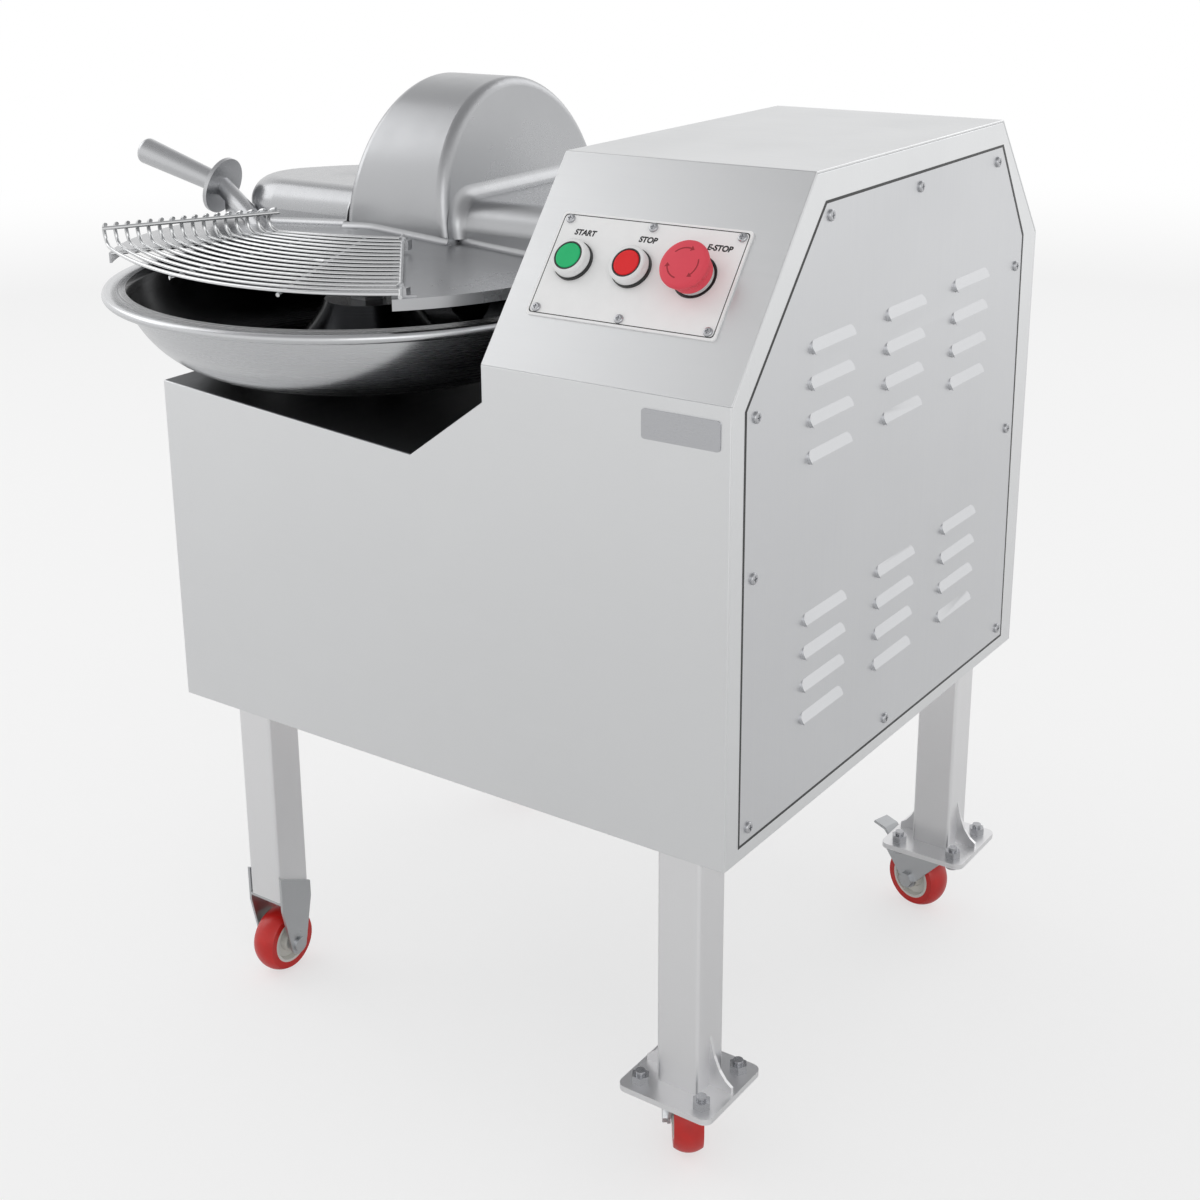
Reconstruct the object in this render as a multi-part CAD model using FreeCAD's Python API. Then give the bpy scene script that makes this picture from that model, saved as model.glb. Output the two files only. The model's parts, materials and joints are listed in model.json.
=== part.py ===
"""Bowl cutter mixer on four legs: cabinet, turning bowl, knife shaft, lid with wire guard.

Lengths are millimetres. Machine coordinates have x to the right from the cabinet's left side,
y to the back from the cabinet's front and z up from the floor. The finished pieces are moved
so that the origin is the centre of the machine's outline on the floor.
"""
import FreeCAD, Part
import math
import os
from FreeCAD import Vector as V, Placement, Rotation

# Cabinet
CAB_W = 560.0
CAB_D = 528.0
CAB_Z = 293.0                # underside of the cabinet above the floor
SHEET = 2.0                  # cabinet sheet
TOWER_X = 346.0              # left face of the drive tower
TOWER_WALL = 6.0
TOWER_WALL_LOW_Z = 240.0     # lower edge of the tower's left wall, above the motor
BEND_Z = 354.0               # front edge of the sloped face, above the cabinet's underside
TOWER_Z = 498.0              # flat top of the tower
TOP_FRONT_Y = 112.0
TOP_BACK_Y = 440.0
BACK_BEND_Z = 391.0
DECK_LEFT_Z = 292.0
DECK_LOW_X = 274.0
DECK_LOW_Z = 272.0
DECK_RIGHT_Z = 325.0
BOTTOM_T = 3.0
EDGE_GAP = 0.5               # gap round a panel that lies in a frame

# Bowl and its drive
BOWL_X = 105.0
BOWL_Y = 150.0
RIM_Z = 369.0
RIM_R = 228.0
RIM_T = 8.0
BOWL_WALL = 3.0
SHAFT_OVER_RIM = 23.0
TROUGH_OVER_RIM = 19.0       # centre of the trough's arc above the rim
TROUGH_R = 90.0
TROUGH_MEAN_R = 120.0        # from the bowl's axis to the middle of the trough
HUB_DROP = 20.0              # hub top below the rim
HUB_T = 6.0
SPINDLE_R = 15.0
SPIGOT_R = 12.0
FIT = 0.05                   # radial running clearance
SPINDLE_FLANGE_R = 26.0
SPINDLE_FLANGE_T = 8.0
BOWL_NUT_R = 16.0
BOWL_NUT_H = 12.0
BOWL_NUT_DOME = 6.0
SEAL_R = 34.0

# Knife shaft
SHAFT_Y = BOWL_Y + TROUGH_MEAN_R
SHAFT_Z = RIM_Z + SHAFT_OVER_RIM
SHAFT_R = 15.0
SHAFT_COLLAR_R = 21.0
KNIFE_SEAT_R = 13.0
KNIFE_R = 84.0
KNIFE_T = 3.0
KNIFE_COUNT = 3
KNIFE_PITCH = 10.0
KNIFE_HUB_R = 20.0
KNIFE_X = 120.0              # left face of the first knife
KNIFE_NUT_T = 10.0
COLLAR_T = 6.0
HOUSING_R = 42.0
HOUSING_NOSE_R = 21.0
HOUSING_NOSE_X = 308.0
HOUSING_END_X = 442.0
HOUSING_FLANGE_R = 62.0
HOUSING_FLANGE_T = 10.0
BEARING_R = 31.0
BEARING_T = 16.0
PULLEY_X = 456.0
PULLEY_T = 36.0
SHAFT_PULLEY_R = 45.0
MOTOR_PULLEY_R = 60.0
BELT_COUNT = 2
BELT_W = 10.0
BELT_H = 8.0
BELT_PITCH = 16.0
BELT_GAP = 0.3

# Motor
MOTOR_R = 80.0
MOTOR_Y = 300.0
MOTOR_FOOT_H = 90.0
MOTOR_X0 = 175.0
MOTOR_X1 = 405.0
MOTOR_SHAFT_R = 14.0
RAIL_H = 20.0
RAIL_W = 40.0

# Gear motor under the bowl
BRACKET_Z = 264.0
BRACKET_T = 6.0
GEARBOX_W = 110.0
GEARBOX_H = 100.0
GEAR_MOTOR_R = 40.0
GEAR_MOTOR_DROP = 62.0       # gear motor's axis below the bracket
GEAR_MOTOR_L = 150.0

# Lid with tunnel and knife fender
LID_Z = 394.0                # top of the lid's plate at its edge
LID_RISE = 15.0              # the plate is a shallow cone that rises to the middle
LID_T = 2.0
LID_R = 222.0
LID_FLANGE = 9.0
HUMP_FRONT_Y = 168.0         # front face of the raised hump over the trough
HUMP_CORNER_R = 60.0         # round front left corner of the hump, in plan
HUMP_EDGE_IN = 10.0          # from the lid's edge to the hump's rounded back
HUMP_Z = 437.0
HUMP_ROUND = 24.0            # rounding along the hump's top
HUMP_RIGHT_X = 343.0
FENDER_X0 = 75.0
FENDER_X1 = 193.0
FENDER_R = 116.0
FENDER_AXIS_Z = 415.0
FENDER_FOOT_Z = 400.0        # height at which the fender has its full width
FENDER_TAPER = 18.0          # each side leans in by this much at the top
FENDER_EDGE_R = 9.0
OPENING = ((-59.0, 14.0), (60.0, 103.0), (170.0, 101.0), (270.0, -9.0))
OPENING_LIP = 8.0
HINGE_Y = 428.0
HINGE_Z = 396.0
HINGE_ROD_R = 6.0
HINGE_EAR_R = 11.0
HINGE_EAR_W = 18.0
HINGE_EARS_X = (22.0, 300.0)
HINGE_POST_W = 6.0
HINGE_POST_R = 13.0
HINGE_SIDE_GAP = 1.0

# Lid handle
HANDLE_ROOT = (-40.0, 163.0)
HANDLE_DISC_AT = (-96.0, 177.0, 427.0)
HANDLE_TIP = (-186.0, 164.0, 456.0)
STUB_R = 8.5
GRIP_R0 = 9.5
GRIP_R1 = 12.5
GRIP_ROUND = 5.0             # rounding of the grip's end
DISC_R = 26.5
DISC_T = 4.0
GUSSET_T = 4.0

# Wire guard
WIRE_R = 1.7
GUARD_WIRES = 16
GUARD_RIGHT = ((275.0, -5.0), (180.0, 112.0))     # ends of the guard's hinge wire
GUARD_LEFT = ((-60.0, 5.0), (58.0, 92.0))         # where the wires curl up, outer and inner
GUARD_Z = 400.0
GUARD_LEAN = 7.0             # degrees by which the guard rises to the middle, as the plate under it does
GUARD_BOW = (37.0, 3.0)      # how far the outer and the inner wire bow out to the front
GUARD_RAIL_UP = 20.0
GUARD_EYE_R = 3.6
GUARD_EYE_W = 4.0
GUARD_FOOT = 12.0            # reach of an eye's foot on the lid
GUARD_EYES_IN = (13.1, 2.5)   # from the guard's outer and inner wire to the eye beside it

# Legs and casters
LEG_A = 38.0
LEG_WALL = 2.0
LEG_Z = 82.0                 # lower end of the legs above the floor
LEG_X = 47.0                 # leg centre from the cabinet's sides
LEG_Y_RIGHT = 32.0           # leg centres on the right from front and back
LEG_Y_LEFT = 52.0            # leg centres on the left from front and back
WHEEL_R = 31.0
WHEEL_W = 24.0
HUB_R = 21.0
HUB_BORE_R = 5.0
FOOT_PLATE_A = 84.0
FOOT_PLATE_T = 5.0
GUSSET_H = 44.0
GUSSET_W = 3.0
GUSSET_CURVE = ((1.0, 0.11), (0.72, 0.2), (0.44, 0.37), (0.2, 0.62), (0.0, 1.0))    # shares of reach and height
CASTER_PLATE_A = 70.0
CASTER_PLATE_T = 3.0
SWIVEL_R = 20.0
SWIVEL_H = 6.5
SWIVEL_TRAIL = 22.0
FORK_T = 2.5
FORK_GAP = 2.0
BRAKE_BACK = 24.0           # brake pivot behind the axle
BRAKE_UP = 27.0              # and above it
BRAKE_PIN_R = 2.5
SWIVEL_DEG = {"front_right": -55.0, "back_right": -16.0}
FOOT_BOLT_R = 4.0

# Controls on the slope, as (x, distance up the slope)
PLATE = (368.0, 45.0, 530.0, 131.0)
PLATE_T = 1.5
BUTTON_S = 91.0
START_X = 393.0
STOP_X = 444.0
ESTOP_X = 497.0
BUTTON_R = 10.5
BEZEL_R = 14.75
BEZEL_H = 10.0
ESTOP_R = 19.0
ESTOP_HEAD_H = 12.0
ESTOP_ROUND = 5.0
ESTOP_BEZEL_H = 4.0
BUTTON_TRAVEL = 4.0
PLATE_SCREWS = ((376.0, 125.0), (449.0, 125.0), (523.0, 125.0), (376.0, 51.0), (449.0, 51.0), (523.0, 51.0))
GLAND_R = 10.0
GLAND_BORE_R = 4.5
GLAND_NUT_R = 12.0
GLAND_NUT_T = 6.0
GLAND_CAP_L = 14.0
GLAND_X = 470.0
GLAND_UP = 60.0
SCREW_R = 4.5
SCREW_H = 2.2
NAME_PLATE = (488.0, 321.0, 552.0, 343.0)

# Service panel on the right side, as (y, z)
PANEL_OUTLINE = ((21.0, 12.0), (505.0, 12.0), (497.0, 392.0), (441.0, 476.0), (128.0, 474.0), (20.0, 346.0))
PANEL_SCREWS = ((135.0, 464.0), (283.0, 464.0), (432.0, 464.0), (34.0, 339.0), (484.0, 367.0),
                (486.0, 219.0), (34.0, 220.0), (493.0, 23.0), (260.0, 23.0), (34.0, 23.0))
LOUVRE_L = 66.0
LOUVRE_W = 11.0
HOOD_OUT = 3.6               # how far a louvre's hood stands out at its lower edge
HOOD_NOSE = 3.0              # height of the hood's upright lower part
HOOD_T = 1.2
LOUVRE_Y = (110.0, 232.0, 355.0)
LOUVRE_Z = (372.0, 345.0, 317.0, 289.0, 161.0, 134.0, 107.0, 80.0)

GLAND_Z = CAB_Z + GLAND_UP

# The machine's outline on the floor, from the sizes above
GRIP_WAY = (V(*HANDLE_TIP) - V(*HANDLE_DISC_AT)).normalize()
X_MIN = (HANDLE_TIP[0] - GRIP_WAY.x * GRIP_ROUND - GRIP_ROUND
         - (GRIP_R1 - GRIP_ROUND) * math.sqrt(1 - GRIP_WAY.x ** 2))
X_MAX = CAB_W + max(SCREW_H, HOOD_OUT)
Y_MIN = BOWL_Y - RIM_R
Y_MAX = CAB_D + GLAND_NUT_T + GLAND_CAP_L
MID = V((X_MIN + X_MAX) / 2, (Y_MIN + Y_MAX) / 2, 0)

X, Y, Z = V(1, 0, 0), V(0, 1, 0), V(0, 0, 1)


def box(x0, x1, y0, y1, z0, z1):
    """A block between two corners."""
    return Part.makeBox(x1 - x0, y1 - y0, z1 - z0, V(x0, y0, z0))


def rod(r, length, at, axis):
    """A round bar from a point along an axis."""
    return Part.makeCylinder(r, length, V(*at), axis)


def ring(r_out, r_in, length, at, axis):
    """A tube from a point along an axis."""
    return rod(r_out, length, at, axis).cut(rod(r_in, length, at, axis))


def wire(points):
    """A closed outline. A point given as a pair of points is an arc's middle and its end."""
    edges = []
    here = first = V(*points[0])
    for item in list(points[1:]) + [points[0]]:
        if isinstance(item[0], tuple):
            end = V(*item[1])
            edges.append(Part.Arc(here, V(*item[0]), end).toShape())
        else:
            end = V(*item)
            if (end - here).Length < 1e-6:
                continue
            edges.append(Part.LineSegment(here, end).toShape())
        here = end
    if (here - first).Length > 1e-6:
        edges.append(Part.LineSegment(here, first).toShape())
    return Part.Wire(edges)


def prism(points, along):
    """An outline carried straight along a vector."""
    return Part.Face(wire(points)).extrude(V(*along))


def turned(points, at, axis):
    """An outline turned round an axis."""
    solid = Part.Face(wire(points)).revolve(V(*at), axis, 360)
    if solid.Volume < 0:
        solid.reverse()
    return solid


def side_outline(pairs, x):
    """Points in a plane across x from (y, z) pairs above the cabinet's underside."""
    return [(x, y, CAB_Z + z) for y, z in pairs]


def front_outline(pairs, y):
    """Points in a plane across y from (x, z) pairs above the cabinet's underside."""
    return [(x, y, CAB_Z + z) for x, z in pairs]


def fuse(shapes):
    """One solid from touching or crossing solids."""
    first, rest = shapes[0], list(shapes[1:])
    return first.fuse(rest).removeSplitter() if rest else first


def group(shapes):
    """Separate solids kept in one piece list."""
    solids = []
    for shape in shapes:
        solids.extend(shape.Solids)
    return Part.Compound(solids)


def capsule(y0, y1, z, width, x0, x1):
    """A slot-shaped block along y with round ends, between two x planes."""
    r = width / 2
    return prism([(x0, y0 + r, z - r), (x0, y1 - r, z - r), ((x0, y1, z), (x0, y1 - r, z + r)),
                  (x0, y0 + r, z + r), ((x0, y0, z), (x0, y0 + r, z - r))], (x1 - x0, 0, 0))


LOW_EDGE = ((0.0, DECK_LEFT_Z), (DECK_LOW_X, DECK_LOW_Z), (TOWER_X, DECK_RIGHT_Z))


def tower_profile(inset=0.0):
    """The tower's outline across x as (y, z) from the front bend over the top to the back bend."""
    slope = math.atan2(TOWER_Z - BEND_Z, TOP_FRONT_Y)
    back = math.atan2(TOWER_Z - BACK_BEND_Z, CAB_D - TOP_BACK_Y)
    front_y, back_y = inset, CAB_D - inset
    return [(front_y, BEND_Z - inset * math.tan(math.pi / 4 - slope / 2)),
            (TOP_FRONT_Y + inset * math.tan(slope / 2), TOWER_Z - inset),
            (TOP_BACK_Y - inset * math.tan(back / 2), TOWER_Z - inset),
            (back_y, BACK_BEND_Z - inset * math.tan(math.pi / 4 - back / 2))]


def front_panel():
    """The full front skin with its folded V edge under the bowl and a return along the bottom."""
    outline = [(0, 0), (CAB_W, 0), (CAB_W, BEND_Z), (TOWER_X, BEND_Z)] + list(reversed(LOW_EDGE))
    return prism(front_outline(outline, 0), (0, SHEET, 0)).cut(tower_skin())


def rear_panel():
    """The back skin, with rows of slots low down and the hole of the cable gland."""
    outline = [(0, 0), (CAB_W, 0), (CAB_W, BACK_BEND_Z), (TOWER_X, BACK_BEND_Z)] + list(reversed(LOW_EDGE))
    skin = prism(front_outline(outline, CAB_D - SHEET), (0, SHEET, 0)).cut(tower_skin())
    for column in range(3):
        for row in range(3):
            x = 110 + 120 * column
            z = CAB_Z + 90 + 26 * row
            skin = skin.cut(box(x, x + LOUVRE_L, CAB_D - 3 * SHEET, CAB_D + SHEET, z, z + LOUVRE_W / 2))
    return skin.cut(rod(GLAND_R, 4 * SHEET, (GLAND_X, CAB_D - 2 * SHEET, GLAND_Z), Y))


def left_panel():
    """The left end skin between the front and the back skins."""
    fall = SHEET * (DECK_LEFT_Z - DECK_LOW_Z) / DECK_LOW_X
    return box(0, SHEET, SHEET, CAB_D - SHEET, CAB_Z, CAB_Z + DECK_LEFT_Z - SHEET - fall)


def bottom_plate():
    """The floor plate that the legs are welded to."""
    return box(SHEET, CAB_W - SHEET, SHEET, CAB_D - SHEET, CAB_Z, CAB_Z + BOTTOM_T)


def deck_tray():
    """The folded tray under the bowl, with the hole of the spindle seal."""
    y0 = SHEET
    top = [(x, y0, CAB_Z + z) for x, z in LOW_EDGE]
    low = [(x, y0, CAB_Z + z - SHEET) for x, z in reversed(LOW_EDGE)]
    tray = prism(top + low, (0, CAB_D - 2 * SHEET, 0))
    return tray.cut(rod(SEAL_R + EDGE_GAP, 60, (BOWL_X, BOWL_Y, CAB_Z + DECK_LOW_Z - 20), Z))


def tower_skin():
    """The bent sheet over the tower before its holes are cut."""
    outer = tower_profile()
    inner = tower_profile(SHEET)
    return prism(side_outline(outer + list(reversed(inner)), TOWER_X), (CAB_W - TOWER_X, 0, 0))


def tower_cover():
    """One bent sheet over the sloped face, the top and the back slope, with the switches' holes."""
    cover = tower_skin()
    for x in (START_X, STOP_X, ESTOP_X):
        cover = cover.cut(on_slope(rod(BUTTON_R + 0.5, 40, (x, BUTTON_S, -20), Z)))
    return cover


def tower_wall():
    """The tower's thick left wall, down past the deck, which carries the knife shaft's housing."""
    outline = [(SHEET, TOWER_WALL_LOW_Z)] + tower_profile(SHEET) + [(CAB_D - SHEET, TOWER_WALL_LOW_Z)]
    wall = prism(side_outline(outline, TOWER_X), (TOWER_WALL, 0, 0))
    return wall.cut(rod(HOUSING_R, 4 * TOWER_WALL, (TOWER_X - TOWER_WALL, SHAFT_Y, CAB_Z + SHAFT_Z), X))


def panel_points(grow, x):
    """The service panel's outline, moved outwards from its middle by about grow."""
    middle_y = sum(y for y, z in PANEL_OUTLINE) / len(PANEL_OUTLINE)
    middle_z = sum(z for y, z in PANEL_OUTLINE) / len(PANEL_OUTLINE)
    pairs = []
    for y, z in PANEL_OUTLINE:
        reach = math.hypot(y - middle_y, z - middle_z)
        scale = 1 + 1.4 * grow / reach
        pairs.append((middle_y + (y - middle_y) * scale, middle_z + (z - middle_z) * scale))
    return side_outline(pairs, x)


def side_frame():
    """The right side's edge frame: a flush strip with a step behind it that the panel lies on."""
    outer = side_outline([(SHEET, 0)] + tower_profile(SHEET) + [(CAB_D - SHEET, 0)], CAB_W - SHEET)
    strip = prism(outer, (SHEET, 0, 0)).cut(prism(panel_points(EDGE_GAP, CAB_W - 2 * SHEET), (4 * SHEET, 0, 0)))
    inside = [(2 * SHEET, BOTTOM_T + SHEET)] + tower_profile(2 * SHEET) + [(CAB_D - 2 * SHEET, BOTTOM_T + SHEET)]
    step = prism(side_outline(inside, CAB_W - 2 * SHEET), (SHEET, 0, 0))
    step = step.cut(prism(panel_points(-30, CAB_W - 4 * SHEET), (8 * SHEET, 0, 0)))
    return fuse([strip, step])


def louvre_hood(y, z):
    """The pressed hood over one slot: flush at its top, standing out and open along its lower edge."""
    low, high = z - LOUVRE_W / 2, z + LOUVRE_W / 2
    blank = capsule(y, y + LOUVRE_L, z, LOUVRE_W, CAB_W - SHEET, CAB_W + HOOD_OUT)
    slant = [(CAB_W - SHEET, y, low), (CAB_W + HOOD_OUT, y, low), (CAB_W + HOOD_OUT, y, low + HOOD_NOSE),
             (CAB_W, y, high), (CAB_W - SHEET, y, high)]
    hood = blank.common(prism(slant, (0, LOUVRE_L, 0)))
    hollow = capsule(y + HOOD_T, y + LOUVRE_L - HOOD_T, z - HOOD_T, LOUVRE_W,
                     CAB_W - 2 * SHEET, CAB_W + 2 * HOOD_OUT)
    inner = [(CAB_W - 2 * SHEET, y, low - LOUVRE_W), (CAB_W + HOOD_OUT - HOOD_T, y, low - LOUVRE_W),
             (CAB_W + HOOD_OUT - HOOD_T, y, low + HOOD_NOSE - HOOD_T / 2), (CAB_W - HOOD_T, y, high),
             (CAB_W - 2 * SHEET, y, high)]
    return hood.cut(hollow.common(prism(inner, (0, LOUVRE_L, 0))))


def service_panel():
    """The right side's panel with its columns of round-ended slots, each under a slanted hood."""
    panel = prism(panel_points(0, CAB_W - SHEET), (SHEET, 0, 0))
    places = [(y, CAB_Z + z) for y in LOUVRE_Y for z in LOUVRE_Z]
    cuts = [capsule(y, y + LOUVRE_L, z, LOUVRE_W, CAB_W - 3 * SHEET, CAB_W + SHEET) for y, z in places]
    return fuse([panel.cut(Part.Compound(cuts))] + [louvre_hood(y, z) for y, z in places])


def inner_frame():
    """Posts in the cabinet's corners, side rails and two beams with the plate of the bowl's drive."""
    a = 20.0
    pieces = []
    for x in (SHEET, TOWER_X - a):
        for y in (SHEET, CAB_D - SHEET - a):
            pieces.append(box(x, x + a, y, y + a, CAB_Z + BOTTOM_T, CAB_Z + BRACKET_Z))
    z0, z1 = CAB_Z + BRACKET_Z - a, CAB_Z + BRACKET_Z
    for x in (SHEET, TOWER_X - a):
        pieces.append(box(x, x + a, SHEET + a, CAB_D - SHEET - a, z0, z1))
    for y in (BOWL_Y - GEARBOX_W / 2 - a - 3, BOWL_Y + GEARBOX_W / 2 + 3):
        pieces.append(box(SHEET + a, TOWER_X - a, y, y + a, z0, z1))
    half = GEARBOX_W / 2 + 22
    pieces.append(box(BOWL_X - half, BOWL_X + half, BOWL_Y - half, BOWL_Y + half, z1, z1 + BRACKET_T))
    return fuse(pieces).cut(rod(SPINDLE_R + 3, 20, (BOWL_X, BOWL_Y, z1 - 5), Z))


def name_plate():
    """The small bare plate on the front."""
    x0, z0, x1, z1 = NAME_PLATE
    plate = box(x0, x1, -1.0, 0, CAB_Z + z0, CAB_Z + z1)
    corners = [e for e in plate.Edges if abs(e.tangentAt(e.FirstParameter).y) > 0.9]
    return plate.makeFillet(2.5, corners)


def cable_gland():
    """The gland through the back skin, where the mains cable goes in."""
    y = CAB_D - SHEET
    nut = Part.Face(hexagon(GLAND_NUT_R, (GLAND_X, CAB_D, GLAND_Z), Y)).extrude(V(0, GLAND_NUT_T, 0))
    body = fuse([rod(GLAND_R - 0.5, SHEET + 12, (GLAND_X, y - 8, GLAND_Z), Y), nut,
                 rod(GLAND_R, GLAND_CAP_L, (GLAND_X, CAB_D + GLAND_NUT_T, GLAND_Z), Y)])
    locknut = ring(GLAND_NUT_R + 2, GLAND_R - 0.5, 5, (GLAND_X, y - 5, GLAND_Z), Y)
    return fuse([body, locknut]).cut(rod(GLAND_BORE_R, 60, (GLAND_X, y - 20, GLAND_Z), Y))


def hexagon(across, at, axis):
    """A hexagon's outline round a point, flat across an axis. The size is over its corners."""
    plate = Part.makePolygon([V(across * math.cos(k * math.pi / 3), across * math.sin(k * math.pi / 3), 0)
                              for k in range(7)])
    plate.Placement = Placement(V(*at), Rotation(Z, axis))
    return Part.Wire(plate.Edges)


def on_slope(shape):
    """Lay a shape that was made flat, with x along the tower and y up the slope, on the sloped face."""
    angle = math.degrees(math.atan2(TOWER_Z - BEND_Z, TOP_FRONT_Y))
    moved = shape.copy()
    moved.Placement = Placement(V(0, 0, CAB_Z + BEND_Z), Rotation(X, angle)).multiply(shape.Placement)
    return moved


def trough_inner_r(z, radius):
    """The distance from the bowl's axis at which the trough's arc reaches a height near the hub."""
    return TROUGH_MEAN_R - math.sqrt(radius ** 2 - (RIM_Z + TROUGH_OVER_RIM - z) ** 2)


def bowl():
    """The bowl: a ring-shaped trough round a low hub, with a flat rim whose edge is turned down."""
    hub_z = RIM_Z - HUB_DROP
    under_z = hub_z - HUB_T
    outer_r = TROUGH_R + BOWL_WALL
    rim_in = TROUGH_MEAN_R + math.sqrt(TROUGH_R ** 2 - TROUGH_OVER_RIM ** 2)
    low_in = TROUGH_MEAN_R + math.sqrt(outer_r ** 2 - (TROUGH_OVER_RIM + BOWL_WALL) ** 2)
    hub_r = trough_inner_r(hub_z, TROUGH_R)
    under_r = trough_inner_r(under_z, outer_r)

    def at(r, z):
        return (BOWL_X + r, BOWL_Y, CAB_Z + z)

    bottom = RIM_Z + TROUGH_OVER_RIM
    outline = [at(SPIGOT_R + FIT, hub_z), at(hub_r, hub_z),
               (at(TROUGH_MEAN_R, bottom - TROUGH_R), at(rim_in, RIM_Z)),
               at(RIM_R - RIM_T / 2, RIM_Z),
               (at(RIM_R, RIM_Z - RIM_T / 2), at(RIM_R - RIM_T / 2, RIM_Z - RIM_T)),
               at(RIM_R - RIM_T, RIM_Z - RIM_T), at(RIM_R - RIM_T, RIM_Z - BOWL_WALL),
               at(low_in, RIM_Z - BOWL_WALL),
               (at(TROUGH_MEAN_R, bottom - outer_r), at(under_r, under_z)),
               at(SPIGOT_R + FIT, under_z)]
    return turned(outline, (BOWL_X, BOWL_Y, 0), Z)


def bowl_spindle():
    """The upright shaft from the gear motor, with the flange that the bowl's hub sits on."""
    seat = CAB_Z + RIM_Z - HUB_DROP - HUB_T
    low = CAB_Z + BRACKET_Z - GEARBOX_H / 2
    return fuse([rod(SPINDLE_R, seat - low, (BOWL_X, BOWL_Y, low), Z),
                 rod(SPINDLE_FLANGE_R, SPINDLE_FLANGE_T, (BOWL_X, BOWL_Y, seat - SPINDLE_FLANGE_T), Z),
                 rod(SPIGOT_R, HUB_T + BOWL_NUT_H / 2, (BOWL_X, BOWL_Y, seat), Z)])


def bowl_nut():
    """The domed nut that holds the bowl on its spindle."""
    z = CAB_Z + RIM_Z - HUB_DROP
    nut = Part.Face(hexagon(BOWL_NUT_R, (BOWL_X, BOWL_Y, z), Z)).extrude(V(0, 0, BOWL_NUT_H))
    dome_r = BOWL_NUT_R - 3
    cap = rod(dome_r, BOWL_NUT_H + BOWL_NUT_DOME, (BOWL_X, BOWL_Y, z), Z)
    cap = cap.makeFillet(BOWL_NUT_DOME, [e for e in cap.Edges if e.BoundBox.ZMin > z + BOWL_NUT_H])
    return fuse([nut, cap]).cut(rod(SPIGOT_R + FIT, BOWL_NUT_H / 2, (BOWL_X, BOWL_Y, z), Z))


def deck_seal():
    """The raised seal housing that closes the deck round the spindle."""
    z = CAB_Z + BRACKET_Z + BRACKET_T
    top = CAB_Z + DECK_LEFT_Z - SHEET
    body = rod(SEAL_R, top - z + 6, (BOWL_X, BOWL_Y, z), Z)
    body = body.makeFillet(4, [e for e in body.Edges if e.BoundBox.ZMin > top + 5])
    return body.cut(rod(SPINDLE_R + FIT, 60, (BOWL_X, BOWL_Y, z - 5), Z))


def bowl_gear_motor():
    """A worm gearbox with its own motor behind it, one closed unit under the bracket."""
    half = GEARBOX_W / 2
    top = CAB_Z + BRACKET_Z
    case = box(BOWL_X - half, BOWL_X + half, BOWL_Y - half, BOWL_Y + half, top - GEARBOX_H, top)
    case = case.makeFillet(12, [e for e in case.Edges if abs(e.tangentAt(e.FirstParameter).z) > 0.9])
    y0 = BOWL_Y + half
    z = top - GEAR_MOTOR_DROP
    parts = [case, rod(GEAR_MOTOR_R - 6, 14, (BOWL_X, y0 - 2, z), Y), rod(GEAR_MOTOR_R, 8, (BOWL_X, y0 + 12, z), Y),
             rod(GEAR_MOTOR_R - 4, GEAR_MOTOR_L, (BOWL_X, y0 + 20, z), Y),
             rod(GEAR_MOTOR_R, 30, (BOWL_X, y0 + 20 + GEAR_MOTOR_L - 24, z), Y)]
    unit = fuse(parts)
    return unit.cut(rod(SPINDLE_R + FIT, GEARBOX_H / 2 + 1, (BOWL_X, BOWL_Y, top - GEARBOX_H / 2), Z))


def shaft_axis(x):
    """A point of the knife shaft's axis."""
    return (x, SHAFT_Y, CAB_Z + SHAFT_Z)


def knife_shaft():
    """The stepped knife shaft from the nut's thread to the pulley's seat."""
    stack = KNIFE_X + KNIFE_PITCH * (KNIFE_COUNT - 1) + KNIFE_T + COLLAR_T
    steps = [(KNIFE_X - KNIFE_NUT_T - 4, KNIFE_SEAT_R - 3), (KNIFE_X, KNIFE_SEAT_R), (stack, SHAFT_COLLAR_R - 3),
             (stack + 8, SHAFT_R), (PULLEY_X - 4, SHAFT_R - 2), (PULLEY_X + PULLEY_T + 8, 0)]
    outline = [(steps[0][0], 0)]
    for (x0, r), (x1, _) in zip(steps, steps[1:]):
        outline += [(x0, r), (x1, r)]
    outline.append((steps[-1][0], 0))
    y, z = SHAFT_Y, CAB_Z + SHAFT_Z
    return turned([(x, y, z + r) for x, r in outline], shaft_axis(0), X)


def knife_blade():
    """One knife in the plane across the shaft: a hub eye and a curved blade with a ground edge."""
    tip = KNIFE_R
    back = [(0, KNIFE_HUB_R, 0), ((-tip * 0.42, tip * 0.52, 0), (-tip * 0.34, tip * 0.94, 0)),
            ((-tip * 0.05, tip * 0.998, 0), (tip * 0.2, tip * 0.90, 0)),
            ((tip * 0.17, tip * 0.45, 0), (KNIFE_HUB_R * 0.96, 0, 0)), (0, 0, 0)]
    blade = prism(back, (0, 0, KNIFE_T))
    bevel = prism([(tip * 0.2, tip, KNIFE_T + 1), (tip * 0.5, tip, KNIFE_T + 1), (tip * 0.5, 0, KNIFE_T + 1),
                   (tip * 0.19, tip * 0.3, KNIFE_T + 1)], (0, 0, -2.2))
    blade = fuse([rod(KNIFE_HUB_R, KNIFE_T, (0, 0, 0), Z), blade.cut(bevel)])
    return blade.cut(rod(KNIFE_SEAT_R + FIT, 3 * KNIFE_T, (0, 0, -KNIFE_T), Z))


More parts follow.
